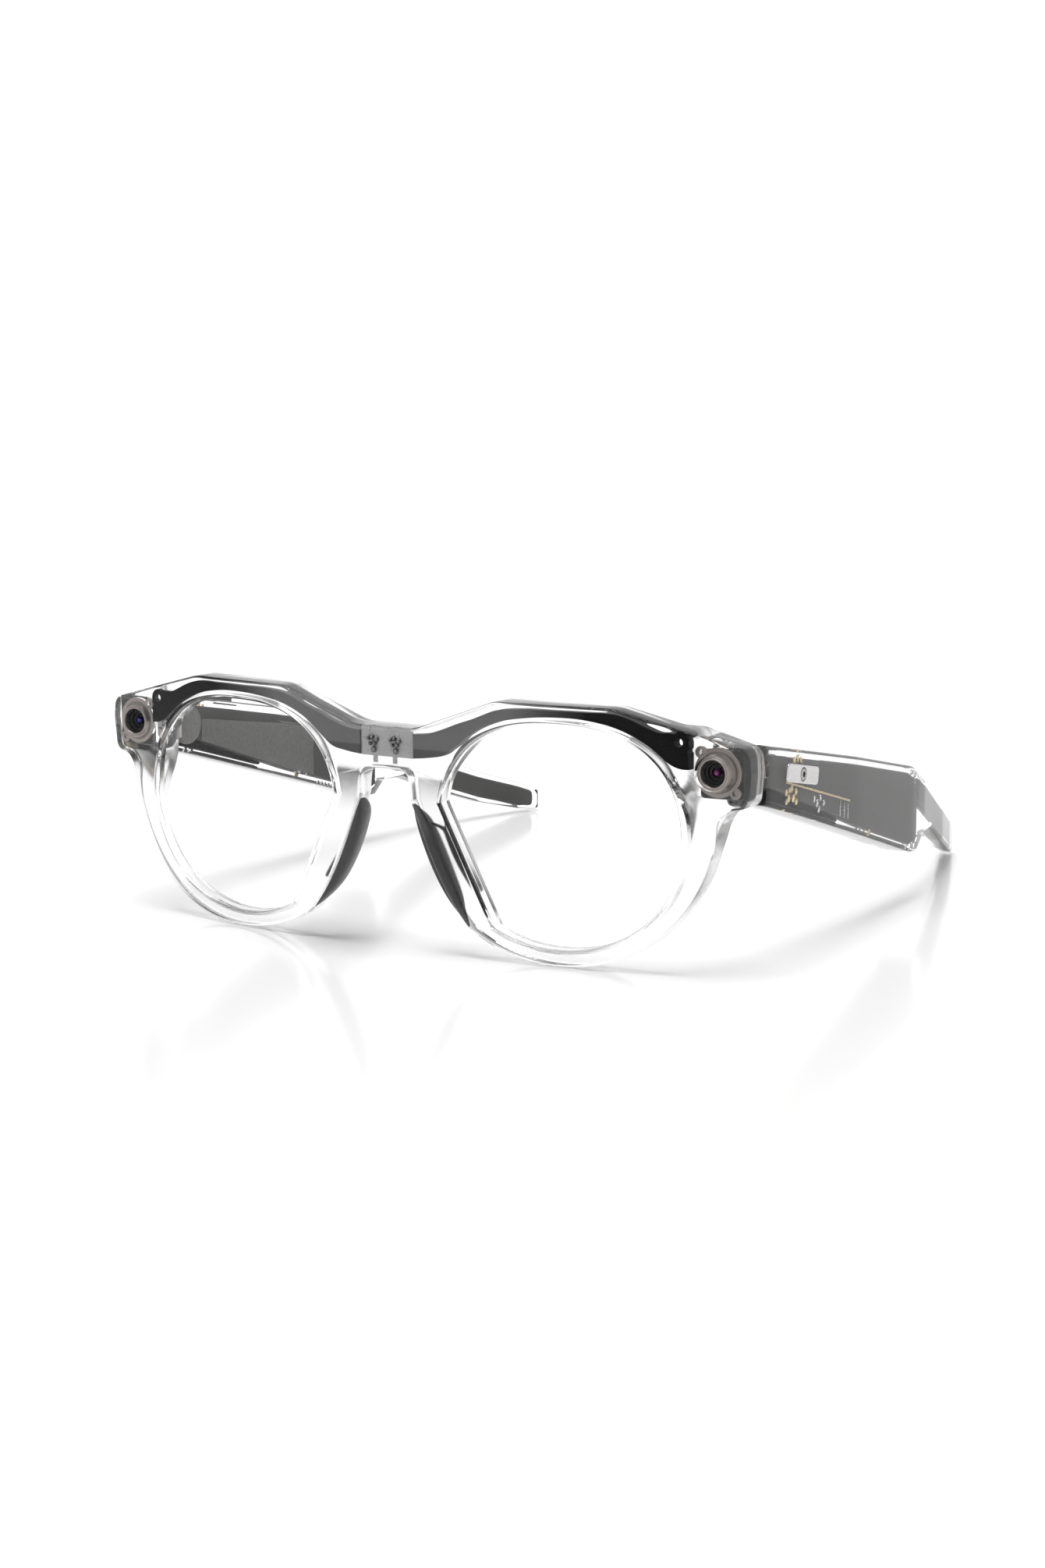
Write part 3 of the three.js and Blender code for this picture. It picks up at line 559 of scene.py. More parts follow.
def tip_edges(shrink=0.0):
    def edges(y):
        top, bottom, outer, inner = arm_at(y)
        neck = float(1 - step(98, 108, y)) * (top - bottom - 8.5)
        wall = 1.35 - 0.45 * float(step(125, 148, y)) + shrink
        return inner + wall, outer - wall, bottom + wall + neck, top - wall

    return edges


def speaker_edges(shrink=0.0):
    def edges(y):
        _, bottom, outer, inner = arm_at(y)
        return (
            inner + 2.0 + shrink,
            outer - 3.0 - shrink,
            bottom + 1.5 + shrink,
            tray_bottom(y, 0) - 0.25 - shrink,
        )

    return edges


# The slot for the hinge leaf, in height.
LEAF_Z = (36.8 - 0.3, 39.0 + 0.3)


def box_build(x0, x1, y0, y1, z0, z1, radius=0.15):
    """A block with rounded long edges along Y and chamfered ends."""
    c = min(radius, (y1 - y0) * 0.3)
    sections = []
    near = [(y0, c), (y0 + c * 0.3, c * 0.3), (y0 + c, 0)]
    far = [(y1 - c, 0), (y1 - c * 0.3, c * 0.3), (y1, c)]
    for y, pull in near + far:
        ring = round_rect(x0 + pull, x1 - pull, z0 + pull, z1 - pull, radius, 3)
        sections.append([(x, y, z) for x, z in ring])
    return lofted(sections)


BADGE_Y, BADGE_Z, BADGE_HALF, BADGE_HIGH, BADGE_SLOPE = 33.4, 35.4, 6.9, 1.8, -0.186
BADGE_X = (72.0, 72.75)
BOLT_R, SOCKET_R = 1.2, 0.62


def badge_build(grow, x0, x1, crown=0.0):
    """A plain plate with round corners whose length follows the temple's slope."""
    half, high = BADGE_HALF + grow, BADGE_HIGH + grow
    slope = math.atan(BADGE_SLOPE)
    c, s = math.cos(slope), math.sin(slope)

    def ring(x, pull):
        flat = round_rect(pull - half, half - pull, pull - high, high - pull, 0.95 + grow - pull, 8)
        return [(x, BADGE_Y + u * c - v * s, BADGE_Z + u * s + v * c) for u, v in flat]

    rim = 0.28 if crown else 0.0
    sections = [ring(x0, 0), ring(x1 - rim, 0)]
    if crown:
        for a in np.linspace(0, math.pi / 2, 5)[1:]:
            sections.append(ring(x1 - rim * (1 - math.sin(a)), rim * (1 - math.cos(a))))
        sections.append(ring(x1 - 0.06, 0.5))
    return lofted(sections)


def merged(builds):
    """Several builds as one."""
    whole = Build()
    for build in builds:
        base = len(whole.verts)
        whole.verts += build.verts
        whole.faces += [tuple(base + i for i in f) for f in build.faces]
    return whole


# ---- Materials ----
def link(tree, a, b):
    tree.links.new(a, b)


def new_material(name, color, roughness, metallic=0.0, **sockets):
    """A Principled material; sockets are set by name, with _ for a space."""
    mat = bpy.data.materials.new(name)
    mat.use_nodes = True
    bsdf = mat.node_tree.nodes["Principled BSDF"]
    bsdf.inputs["Base Color"].default_value = (*color, 1)
    bsdf.inputs["Roughness"].default_value = roughness
    bsdf.inputs["Metallic"].default_value = metallic
    for key, value in sockets.items():
        bsdf.inputs[key.replace("_", " ")].default_value = value
    return mat


def place(mat, stretch=(1, 1, 1)):
    """Object coordinates in metres, stretched, as a vector output."""
    tree = mat.node_tree
    coordinates = tree.nodes.new("ShaderNodeTexCoord")
    mapping = tree.nodes.new("ShaderNodeMapping")
    mapping.inputs["Scale"].default_value = stretch
    link(tree, coordinates.outputs["Object"], mapping.inputs["Vector"])
    return mapping.outputs["Vector"]


def noise(mat, size, detail=3.0, stretch=(1, 1, 1)):
    """Noise whose features are about size millimetres across."""
    tree = mat.node_tree
    node = tree.nodes.new("ShaderNodeTexNoise")
    node.inputs["Scale"].default_value = 1 / (size * MM)
    node.inputs["Detail"].default_value = detail
    link(tree, place(mat, stretch), node.inputs["Vector"])
    return node.outputs["Fac"]


def spread(mat, value, low, high, start=0.3, end=0.7):
    node = mat.node_tree.nodes.new("ShaderNodeMapRange")
    for key, number in (("From Min", start), ("From Max", end), ("To Min", low), ("To Max", high)):
        node.inputs[key].default_value = number
    link(mat.node_tree, value, node.inputs["Value"])
    return node.outputs["Result"]


def vary_roughness(mat, value, low, high):
    bsdf = mat.node_tree.nodes["Principled BSDF"]
    link(mat.node_tree, spread(mat, value, low, high), bsdf.inputs["Roughness"])


def ramp(owner, value, stops):
    """Colours at places from 0 to 1 along a value, for a material or a world."""
    node = owner.node_tree.nodes.new("ShaderNodeValToRGB")
    elements = node.color_ramp.elements
    while len(elements) < len(stops):
        elements.new(0.5)
    for element, (at, color) in zip(elements, stops):
        element.position = at
        element.color = (*color, 1)
    link(owner.node_tree, value, node.inputs["Fac"])
    return node.outputs["Color"]


def mixed(mat, value, a, b, kind="MIX"):
    node = mat.node_tree.nodes.new("ShaderNodeMix")
    node.data_type = "RGBA"
    node.blend_type = kind
    for socket, item in ((node.inputs[0], value), (node.inputs[6], a), (node.inputs[7], b)):
        if isinstance(item, bpy.types.NodeSocket):
            link(mat.node_tree, item, socket)
        elif isinstance(item, tuple):
            socket.default_value = (*item, 1)
        else:
            socket.default_value = item
    return node.outputs[2]


def paint(mat, color):
    link(mat.node_tree, color, mat.node_tree.nodes["Principled BSDF"].inputs["Base Color"])


def speckle(mat, size, a, b, stretch=(1, 1, 1)):
    paint(mat, ramp(mat, noise(mat, size, 4, stretch), [(0.3, a), (0.7, b)]))


def bump(mat, height, depth):
    """Fine relief, depth millimetres deep."""
    tree = mat.node_tree
    node = tree.nodes.new("ShaderNodeBump")
    node.inputs["Distance"].default_value = depth * MM
    link(tree, height, node.inputs["Height"])
    link(tree, node.outputs["Normal"], tree.nodes["Principled BSDF"].inputs["Normal"])


def grey(value):
    return (value, value, value)


SOFT_TINT = (0.1, 0.1, 0.1, 1.0)  # a hard coat cuts the plastic's straight-on reflection


def hard_plastic(name, low, high, size):
    """Clear plastic whose roughness wanders between two values."""
    mat = new_material(name, grey(1.0), low, IOR=1.49, Transmission_Weight=1.0, Specular_Tint=SOFT_TINT)
    speckle(mat, 20, (0.985, 0.988, 0.99), (1.0, 1.0, 1.0))
    vary_roughness(mat, noise(mat, size), low, high)
    return mat


def lens_plastic():
    mat = new_material("lens_clear", grey(1.0), 0.0, IOR=1.06, Transmission_Weight=1.0)
    speckle(mat, 30, (0.99, 0.992, 0.995), (1.0, 1.0, 1.0))
    return mat


def from_middle(mat):
    """The distance from the middle plane, and the height."""
    tree = mat.node_tree
    parts = tree.nodes.new("ShaderNodeSeparateXYZ")
    link(tree, place(mat), parts.inputs["Vector"])
    away = tree.nodes.new("ShaderNodeMath")
    away.operation = "ABSOLUTE"
    link(tree, parts.outputs["X"], away.inputs[0])
    return away.outputs[0], parts.outputs["Z"]


def brow_film():
    """Dark film: mid grey towards the bridge, fading to near black by the eyes as painted shade, and darker
    low at the bridge.
    """
    mat = new_material("brow_film", grey(0.02), 0.5, Specular_IOR_Level=0.05)
    away, height = from_middle(mat)
    along = spread(mat, away, 0, 1, 6 * MM, 62 * MM)
    # Painted shade: the fade from mid grey to near black along the film stands in for its darker reflections
    # towards the eyes.
    painted_shades = ((0.0, 0.215), (0.36, 0.21), (0.5, 0.08), (0.64, 0.008), (1.0, 0.004))
    painted_shade = ramp(mat, along, [(at, grey(value)) for at, value in painted_shades])
    low = spread(mat, height, 0.62, 1.0, 39.0 * MM, 39.4 * MM)
    paint(mat, mixed(mat, 1.0, painted_shade, mixed(mat, low, grey(0.0), grey(1.0)), "MULTIPLY"))
    vary_roughness(mat, noise(mat, 2), 0.35, 0.45)
    return mat


def graphite():
    mat = new_material("graphite_plastic", grey(0.1), 0.55)
    speckle(mat, 0.6, (0.083, 0.081, 0.078), (0.095, 0.093, 0.09))
    vary_roughness(mat, noise(mat, 1.5), 0.48, 0.62)
    bump(mat, noise(mat, 0.25, 2), 0.008)
    return mat


def rubber():
    mat = new_material("nose_rubber", grey(0.03), 0.5, Sheen_Weight=0.15, Sheen_Roughness=0.4)
    speckle(mat, 0.8, (0.026, 0.025, 0.025), (0.036, 0.035, 0.035))
    vary_roughness(mat, noise(mat, 1.2), 0.38, 0.52)
    bump(mat, noise(mat, 0.18, 2), 0.006)
    return mat


def smoke_window():
    mat = new_material("smoke_plastic", grey(0.4), 0.35, IOR=1.45, Transmission_Weight=0.25)
    speckle(mat, 3, (0.62, 0.62, 0.62), (0.7, 0.7, 0.7))
    vary_roughness(mat, noise(mat, 1), 0.25, 0.4)
    return mat


def taupe_metal():
    """Turned metal: fine rings round each eye's axis."""
    mat = new_material("taupe_metal", (0.3, 0.27, 0.25), 0.35, 0.85)
    tree = mat.node_tree
    away, height = from_middle(mat)
    joined = tree.nodes.new("ShaderNodeCombineXYZ")
    for socket, source, middle in (("X", away, EYE_X), ("Y", height, EYE_Z)):
        node = tree.nodes.new("ShaderNodeMath")
        node.operation = "SUBTRACT"
        node.inputs[1].default_value = middle * MM
        link(tree, source, node.inputs[0])
        link(tree, node.outputs[0], joined.inputs[socket])
    rings = tree.nodes.new("ShaderNodeTexWave")
    rings.wave_type = "RINGS"
    rings.rings_direction = "Z"
    rings.inputs["Scale"].default_value = 1 / (1.4 * MM)
    rings.inputs["Distortion"].default_value = 2.0
    link(tree, joined.outputs[0], rings.inputs["Vector"])
    dark, light = (0.27, 0.243, 0.228), (0.36, 0.325, 0.305)
    paint(mat, ramp(mat, rings.outputs["Fac"], [(0.0, dark), (1.0, light)]))
    vary_roughness(mat, rings.outputs["Fac"], 0.3, 0.45)
    return mat


def metal(name, color, low, high, size=0.6, stretch=(1, 1, 1)):
    mat = new_material(name, color, low, 1.0)
    dark = tuple(c * 0.88 for c in color)
    speckle(mat, size, dark, color, stretch)
    vary_roughness(mat, noise(mat, size, 4, stretch), low, high)
    bump(mat, noise(mat, size * 0.5, 2, stretch), 0.004)
    return mat


def plastic(name, color, roughness, size=0.8, **sockets):
    mat = new_material(name, color, roughness, **sockets)
    speckle(mat, size, tuple(c * 0.85 for c in color), tuple(min(1, c * 1.12) for c in color))
    vary_roughness(mat, noise(mat, size * 2), roughness * 0.85, min(1, roughness * 1.15))
    bump(mat, noise(mat, size * 0.4, 2), 0.004)
    return mat


def board():
    """Solder mask with fine copper runs under it."""
    mat = new_material("board_green", (0.02, 0.035, 0.028), 0.4)
    tree = mat.node_tree
    runs = tree.nodes.new("ShaderNodeTexBrick")
    runs.inputs["Scale"].default_value = 1 / (4 * MM)
    link(tree, place(mat, (0, 1, 1)), runs.inputs["Vector"])
    mask, copper = (0.02, 0.032, 0.027), (0.05, 0.075, 0.055)
    paint(mat, ramp(mat, runs.outputs["Fac"], [(0.0, mask), (1.0, copper)]))
    vary_roughness(mat, noise(mat, 0.5), 0.3, 0.5)
    return mat


def painted_glint_glass(name, glint_colour):
    """Near-black glass with a painted glint: a lens coating's coloured reflection painted into its base
    colour.
    """
    mat = new_material(name, grey(0.0), 0.06, Specular_IOR_Level=0.6)
    speckle(mat, 1.2, tuple(c * 0.35 for c in glint_colour), glint_colour)
    vary_roughness(mat, noise(mat, 0.8), 0.04, 0.1)
    return mat


CLEAR = hard_plastic("clear_plastic", 0.0, 0.012, 6)
SATIN = hard_plastic("satin_plastic", 0.22, 0.27, 3)  # finely blasted
LENS = lens_plastic()
FILM = brow_film()
GRAPHITE = graphite()
RUBBER = rubber()
WINDOW = smoke_window()
TAUPE = taupe_metal()
GOLD = metal("contact_gold", (0.83, 0.68, 0.42), 0.25, 0.4, 0.4)
STEEL = metal("hinge_steel", (0.42, 0.41, 0.40), 0.3, 0.45, 0.8)
SILVER = metal("badge_metal", (0.6, 0.59, 0.59), 0.2, 0.3, 0.5, (1, 0.15, 1))
PIN = metal("pin_metal", (0.2, 0.2, 0.2), 0.25, 0.4, 0.5)
BLACK = plastic("black_barrel", (0.003, 0.003, 0.0035), 0.4, 0.5, Specular_IOR_Level=0.15)
SOOT = plastic("soot_film", (0.006, 0.006, 0.006), 0.6, Specular_IOR_Level=0.1)
CELL = plastic("cell_foil", (0.27, 0.275, 0.285), 0.35)
BUTTON = plastic("button_grey", (0.12, 0.118, 0.115), 0.45)
BOARD = board()
HOUSE = plastic("housing_grey", (0.055, 0.054, 0.053), 0.45, 0.6)
CAP = plastic("cap_grey", (0.15, 0.147, 0.143), 0.4, 0.8)
PANEL = plastic("panel_grey", (0.23, 0.226, 0.22), 0.5, 0.8)
# Painted glints: each eye's coloured coating reflection is painted into a base colour, magenta on the left
# and blue on the right.
MAGENTA_GLINT = painted_glint_glass("magenta_painted_glint", (0.2, 0.0, 0.13))
BLUE_GLINT = painted_glint_glass("blue_painted_glint", (0.008, 0.004, 0.3))
DOME = new_material("dome_glass", grey(1.0), 0.0, IOR=1.12, Transmission_Weight=1.0)
speckle(DOME, 2, (0.93, 0.93, 0.96), (1.0, 1.0, 1.0))


# ---- The front's pieces ----
# Blasted zones: under the end pieces, outwards of x and between two heights, and beside the nose.
END_ZONE_X, END_ZONE_Z = 54, (16, 36)
NOSE_ZONE_X, NOSE_ZONE_TOP = 19, 29.5


def is_satin(face):
    """Whether a face of the front is blasted: its back skin, and the deep sides of the two zones."""
    x, y, z = face.center / MM
    side = math.copysign(1, x)
    normal = Vector((side * face.normal.x, face.normal.y, face.normal.z))
    x = abs(x)
    away = normal.x * (x - LENS_X) + normal.z * (z - LENS_Z)
    depth = y - SHIFT - front_y(x, z)
    deep = depth > 1.0 and normal.y > -0.5 and (away > -0.5 or depth > RIM_DEPTH - 0.3)
    by_end = x > END_ZONE_X and END_ZONE_Z[0] < z < END_ZONE_Z[1]
    by_nose = x < NOSE_ZONE_X and z < NOSE_ZONE_TOP
    if deep and (by_end or by_nose):
        return True
    if abs(y - SHIFT - back_y(x, z)) > 0.4:
        return False
    reach = 0.05
    across = back_y(x - reach, z) - back_y(x + reach, z)
    up = back_y(x, z - reach) - back_y(x, z + reach)
    return normal.dot(Vector((across, 2 * reach, up)).normalized()) > 0.9


def front_clear():
    """The front and its back cover as one clear piece, with cavities for the eyes and the charging block."""
    cavities = [
        lathe([(EYE_BORE, -4), (EYE_BORE, BRACKET_Y[0] + 0.05)], EYE_X, EYE_Z),
        lathe([(BRACKET_R - GAP, BRACKET_Y[0] + GAP), (BRACKET_R - GAP, 14)], EYE_X, EYE_Z),
        box_build(*HOUSING_CAVITY, 0.7),
        box_build(*BACK_CAVITY),
    ]
    cavities += [build.flipped() for build in cavities] + [box_build(*BRIDGE_CAVITY)]
    nodes = ["front_frame", "brow_back_cover"]
    body = make("front_clear", front_half(), CLEAR, "front", 1, nodes, "clear_plastic", 32, less=cavities)
    body.data.materials.append(SATIN)
    for face in body.data.polygons:
        if is_satin(face):
            face.material_index = 1


BROW = [
    (6.0, 37.3, 42.0),
    (9.4, 37.7, 42.4),
    (13.0, 38.6, 43.6),
    (15.2, 40.3, 44.5),
    (18.6, 43.0, 45.7),
    (24.0, 45.5, 47.8),
    (29.0, 46.5, 48.3),
    (35.0, 47.0, 48.3),
    (41.5, 46.8, 48.3),
    (48.2, 45.3, 48.0),
    (50.9, 44.1, 47.1),
    (53.3, 42.7, 46.0),
    (55.2, 41.2, 45.3),
    (57.1, 39.6, 45.3),
    (59.2, 38.7, 45.4),
    (60.9, 38.6, 45.3),
]
PLATE_NEAR, PLATE_FAR = 1.9, 4.6
HOLE_X, HOLE_Z, HOLE_R = 59.0, 43.6, 0.8
LOBE_R = 1.8


def brow_insert(side_name, side):
    """The dark film along the brow, with a rounded lobe and a hole at its eye end."""
    end = HOLE_X + LOBE_R
    turns = np.linspace(0, math.pi / 2, 24)[1:]
    xs = np.concatenate([np.linspace(6.0, HOLE_X, 110), HOLE_X + (LOBE_R - 0.01) * np.sin(turns)])
    edges = curve_through(BROW, xs)
    low, high = edges[:, 0], edges[:, 1]
    lobe = HOLE_Z + np.sqrt(np.maximum(LOBE_R**2 - (xs - HOLE_X) ** 2, 0.0))
    high = np.where(xs > HOLE_X - 1.0, np.minimum(high, lobe), high)
    soft = 0.12
    middle = (PLATE_NEAR + PLATE_FAR) / 2
    half = (PLATE_FAR - PLATE_NEAR) / 2
    sections = []
    for x, z0, z1 in zip(xs, low, high):
        ring = [
            (z0 + soft, -half),
            (z0, -half + soft),
            (z0, half - soft),
            (z0 + soft, half),
            *((z0 + (z1 - z0) * t, half) for t in (0.3, 0.7)),
            (z1 - soft, half),
            (z1, half - soft),
            (z1, -half + soft),
            (z1 - soft, -half),
            *((z0 + (z1 - z0) * t, -half) for t in (0.7, 0.3)),
        ]
        sections.append([(x, front_y(x, z) + middle + d, z) for z, d in ring])
    notch = lathe([(0.6, -2), (0.6, 20)], end + 0.35, HOLE_Z - 1.5, 40)
    hole = lathe([(HOLE_R, -2), (HOLE_R, 20)], HOLE_X, HOLE_Z, 48)
    name, nodes = "brow_insert_" + side_name, ["brow_plate_" + side_name]
    make(name, lofted(sections), FILM, "front", side, nodes, "soot_film", less=[hole, notch])


def lens_piece(side_name, side):
    """A lens: two curved faces from the groove to its middle, and a bevelled edge."""
    angles = np.linspace(0, -2 * math.pi, 200, endpoint=False)
    ring = lens_edge(angles, -0.3 + 0.8 * grooved(angles))
    centre = np.array([LENS_X, LENS_Z])
    near, far, bevel = 1.2, 2.8, 0.25

    def loop(t, depth):
        p = centre + (ring - centre) * t
        return np.stack([p[:, 0], front_y(p[:, 0], p[:, 1]) + depth, p[:, 1]], 1)

    def face(depth):
        rows = [loop(t, depth) for t in np.linspace(1, 0, 14)[:-1]]
        small = centre + (ring - centre) * (1 - bevel / 22)
        rows[0][:, 0], rows[0][:, 2] = small[:, 0], small[:, 1]
        return rows

    rows = face(near)[::-1] + [loop(1.0, near + bevel), loop(1.0, far - bevel)] + face(far)
    make("lens_clear_" + side_name, lofted(rows), LENS, "front", side, ["lens_" + side_name], "lens_clear")


def nose_rest(side_name, side):
    name, nodes = "nose_rest_" + side_name, ["nose_pad_" + side_name]
    make(name, nose_pad(), RUBBER, "front", side, nodes, "nose_rubber", 50, plus=[pad_strip()])


CONTACT_X, CONTACT_Z = (-2.3, 2.3), 39.8


def charge_unit():
    """The charging block in the bridge, its two cups, and the clusters of pins in front of it."""
    carrier = box_build(-5.2, 5.2, 4.8, 7.3, 37.9, 41.7, 0.3)
    cups = [lathe([(1.15, 5.6), (1.15, 9)], x, CONTACT_Z, 48) for x in CONTACT_X]
    make("charge_carrier", carrier, WINDOW, "front", 1, ["charge_block"], "smoke_plastic", less=cups)
    for k, x in enumerate(CONTACT_X, 1):
        profile = rounded([(0, 5.9), (0.9, 5.9), (0.9, 7.25), (0.35, 7.3), (0, 7.3)], 0.2)
        pin = lathe(profile, x, CONTACT_Z, 48)
        make(f"charge_pin_{k}", pin, GOLD, "front", 1, [f"charge_contact_{k}"], "contact_gold")
    film = box_build(-5.9, 5.9, 3.2, 3.6, 37.2, 42.4, 0.15)
    make("bridge_film", film, WINDOW, "front", slot="smoke_plastic")
    clusters = ((-1.0, 1.6), (-0.2, 1.9), (0.8, 1.5), (-0.6, 0.6), (0.4, 0.7), (0.2, -0.5))
    pins = []
    for middle in (-3.1, 1.9):
        for k, (x, z) in enumerate(clusters):
            r = 0.36 + 0.12 * (k % 3)
            profile = rounded([(0, 2.3), (r * 0.6, 2.3), (r, 2.6), (r, 3.3), (0, 3.3)], 0.1)
            pins.append(lathe(profile, middle + x, 38.9 + z, 20))
    make("spring_pins", merged(pins), PIN, "front", slot="hinge_steel")
    legs = [box_build(x - 0.5, x + 0.5, 3.2, 3.6, 35.9, 37.3, 0.15) for x in (-2.7, 1.7)]
    make("spring_legs", merged(legs), WINDOW, "front", slot="smoke_plastic")


# ---- The eyes ----
def eye_unit(side_name, side, coat):
    """One eye: bracket with two ears, screw, sleeve, rim, barrel, glass and housing."""

    def piece(name, build, material, *stands_for, slot, **changes):
        make(f"{name}_{side_name}", build, material, "front", side, stands_for, slot, **changes)

    near, far = BRACKET_Y
    disc = [(3.2, near), (BRACKET_R - 0.1, near), (BRACKET_R, near + 0.1), (BRACKET_R, far), (3.2, far)]
    disc = ringed(rounded([*disc, (3.2, near)], 0.12, 3), EYE_X, EYE_Z)
    ear = rounded([(0, near), (1.15, near), (1.15, far), (0, far)], 0.12, 3)
    ears = [lathe(ear, x, z, 40) for x, z in EARS]
    hole = lathe([(0.55, near - 1), (0.55, near + 0.5)], *EARS[1], 32)
    bracket = "eye_bracket_" + side_name
    piece("eye_mount", disc, TAUPE, bracket, slot="taupe_metal", plus=ears, less=[hole])
    screw = [(0, near - 0.3), (0.4, near - 0.3), (0.55, near - 0.1), (0.55, near + 0.2), (0, near + 0.2)]
    piece("eye_screw", lathe(rounded(screw, 0.1), *EARS[0], 32), SILVER, slot="hinge_steel")

    sleeve = rounded([(2.95, 9.2), (3.22, 9.2), (3.9, near), (3.2, near), (2.95, 9.2)], 0.06, 3)
    piece("eye_sleeve", ringed(sleeve, EYE_X, EYE_Z), TAUPE, slot="taupe_metal")
    rim = [(2.42, 9.95), (2.5, 9.2), (2.62, 9.02), (2.8, 9.02), (2.9, 9.15), (2.9, 9.9), (2.42, 9.95)]
    piece("eye_rim", ringed(rounded(rim, 0.08, 3), EYE_X, EYE_Z), TAUPE, slot="taupe_metal")
    barrel = [(0, 11.6), (0.95, 11.6), (1.0, 11.1), (1.5, 11.0), (1.55, 10.5), (2.0, 10.4), (2.05, 10.0)]
    barrel += [(2.46, 9.9), (2.46, 9.45), (2.86, 9.4), (2.86, 14.3), (0, 14.3)]
    tube = lathe(rounded(barrel, 0.08, 3), EYE_X, EYE_Z)
    piece("eye_tube", tube, BLACK, "eye_barrel_" + side_name, slot="black_barrel")
    dome = [(0.62 * math.sin(t), 10.9 - 0.5 * math.cos(t)) for t in np.linspace(0.1, 1.5, 9)]
    dome = [(0, 10.4), *dome, (0.62, 11.7), (0, 11.7)]
    # The small dark dome behind the window carries the painted glint colour that stands in for the coating's
    # reflection.
    piece("eye_core", lathe(dome, EYE_X, EYE_Z, 64), coat, slot="black_glass")
    lens = [(2.4 * math.sin(t), 9.15 + 0.3 * (1 - math.cos(t))) for t in np.linspace(0.1, 1.57, 10)]
    lens = [(0, 9.15), *lens, (2.42, 9.7), (0, 9.9)]
    piece("eye_window", lathe(lens, EYE_X, EYE_Z), DOME, "eye_glass_" + side_name, slot="black_glass")

    bore = lathe([(2.9, HOUSING[2] - 1), (2.9, HOUSING[3] + 1)], EYE_X, EYE_Z)
    hollows = [bore, box_build(*HOUSING_POCKET, 0.1)]
    piece("eye_housing", box_build(*HOUSING, 0.7), HOUSE, slot="black_barrel", less=hollows)


# ---- The temples' pieces ----
SPEAKER_Y = (21.6, 52)


def snap_pockets():
    """Small hollows round the clips of the temple's clear cover, by place, height, length and size."""
    outside = (
        (88.8, 27.6, 1.2, 0.7),
        (90.6, 27.0, 1.0, 1.2),
        (90.9, 25.0, 0.8, 0.8),
        (86.6, 13.0, 1.6, 0.4),
        (89.4, 12.6, 0.5, 1.0),
        (90.6, 12.4, 0.5, 1.2),
        (91.8, 12.4, 0.4, 1.3),
    )
    inside = (
        (24.6, 30.6, 0.9, 1.0),
        (26.2, 30.2, 1.4, 0.6),
        (63.6, 20.2, 1.2, 0.7),
        (65.2, 20.3, 1.8, 1.1),
        (67.6, 19.3, 1.0, 0.8),
    )
    comb = [(y, 16.6 - (y - 72) * 0.29, 0.5, 1.2) for y in np.arange(72, 80, 1.3)]

    def pocket(x0, x1, y, z, long, high):
        return box_build(x0, x1, y, y + long, z - high / 2, z + high / 2, 0.12)

    pockets = [pocket(69.6, 70.2, *place) for place in outside]
    for place in (*inside, *comb):
        x = arm_at(place[0])[3]
        pockets.append(pocket(x + 0.4, x + 1.0, *place))
    return pockets


PANEL_Y = (31.0, 70.9)


def panel_edges(shrink=0.0):
    """The core's inner panel stands a little proud of the rest of its inner side."""

    def edges(y):
        x0, _, z0, z1 = core_edges()(y)
        top = z1 - float(np.interp(y, (31, 64), (2.6, 1.7)))
        return x0 - 0.3 + shrink, x0 + 0.1, z0 + 0.3 + shrink, top - shrink

    return edges


def arm_clear(side_name, side):
    """A temple's shell and inner cover as one clear piece, with cavities for all that it holds."""
    cavities = [
        arm_loft(CORE_START, CORE_END, core_edges(GAP), 0.7, facet=core_facet),
        arm_loft(TIP_START, TIP_END, tip_edges(GAP), 0.9, (0.3, 0.9)),
        arm_loft(*SPEAKER_Y, speaker_edges(GAP), 0.3),
        badge_build(0.05, BADGE_X[0] - 0.05, 76),
        box_build(61, 70.8, 17, 20.9, *LEAF_Z),
        arm_loft(*PANEL_Y, panel_edges(GAP), 0.05, (0.1, 0.1)),
        *snap_pockets(),
    ]
    shell = arm_loft(SHELL_START, TIP_Y, shell_edges, 0.9, (0.5, 1.45), 2.5, 5)
    nodes = ["temple_shell_" + side_name, "inner_cover_" + side_name]
    name, body = "arm_clear_" + side_name, "temple_" + side_name
    make(name, shell, CLEAR, body, side, nodes, "clear_plastic", 32, less=cavities)


def well_edges(y):
    top, bottom, outer, inner = arm_at(y)
    low = tray_bottom(y, bottom) + 0.9
    return inner + LID + 0.15, outer - TRAY_FACE - 0.8, low, top - TRAY_EDGE - 0.9


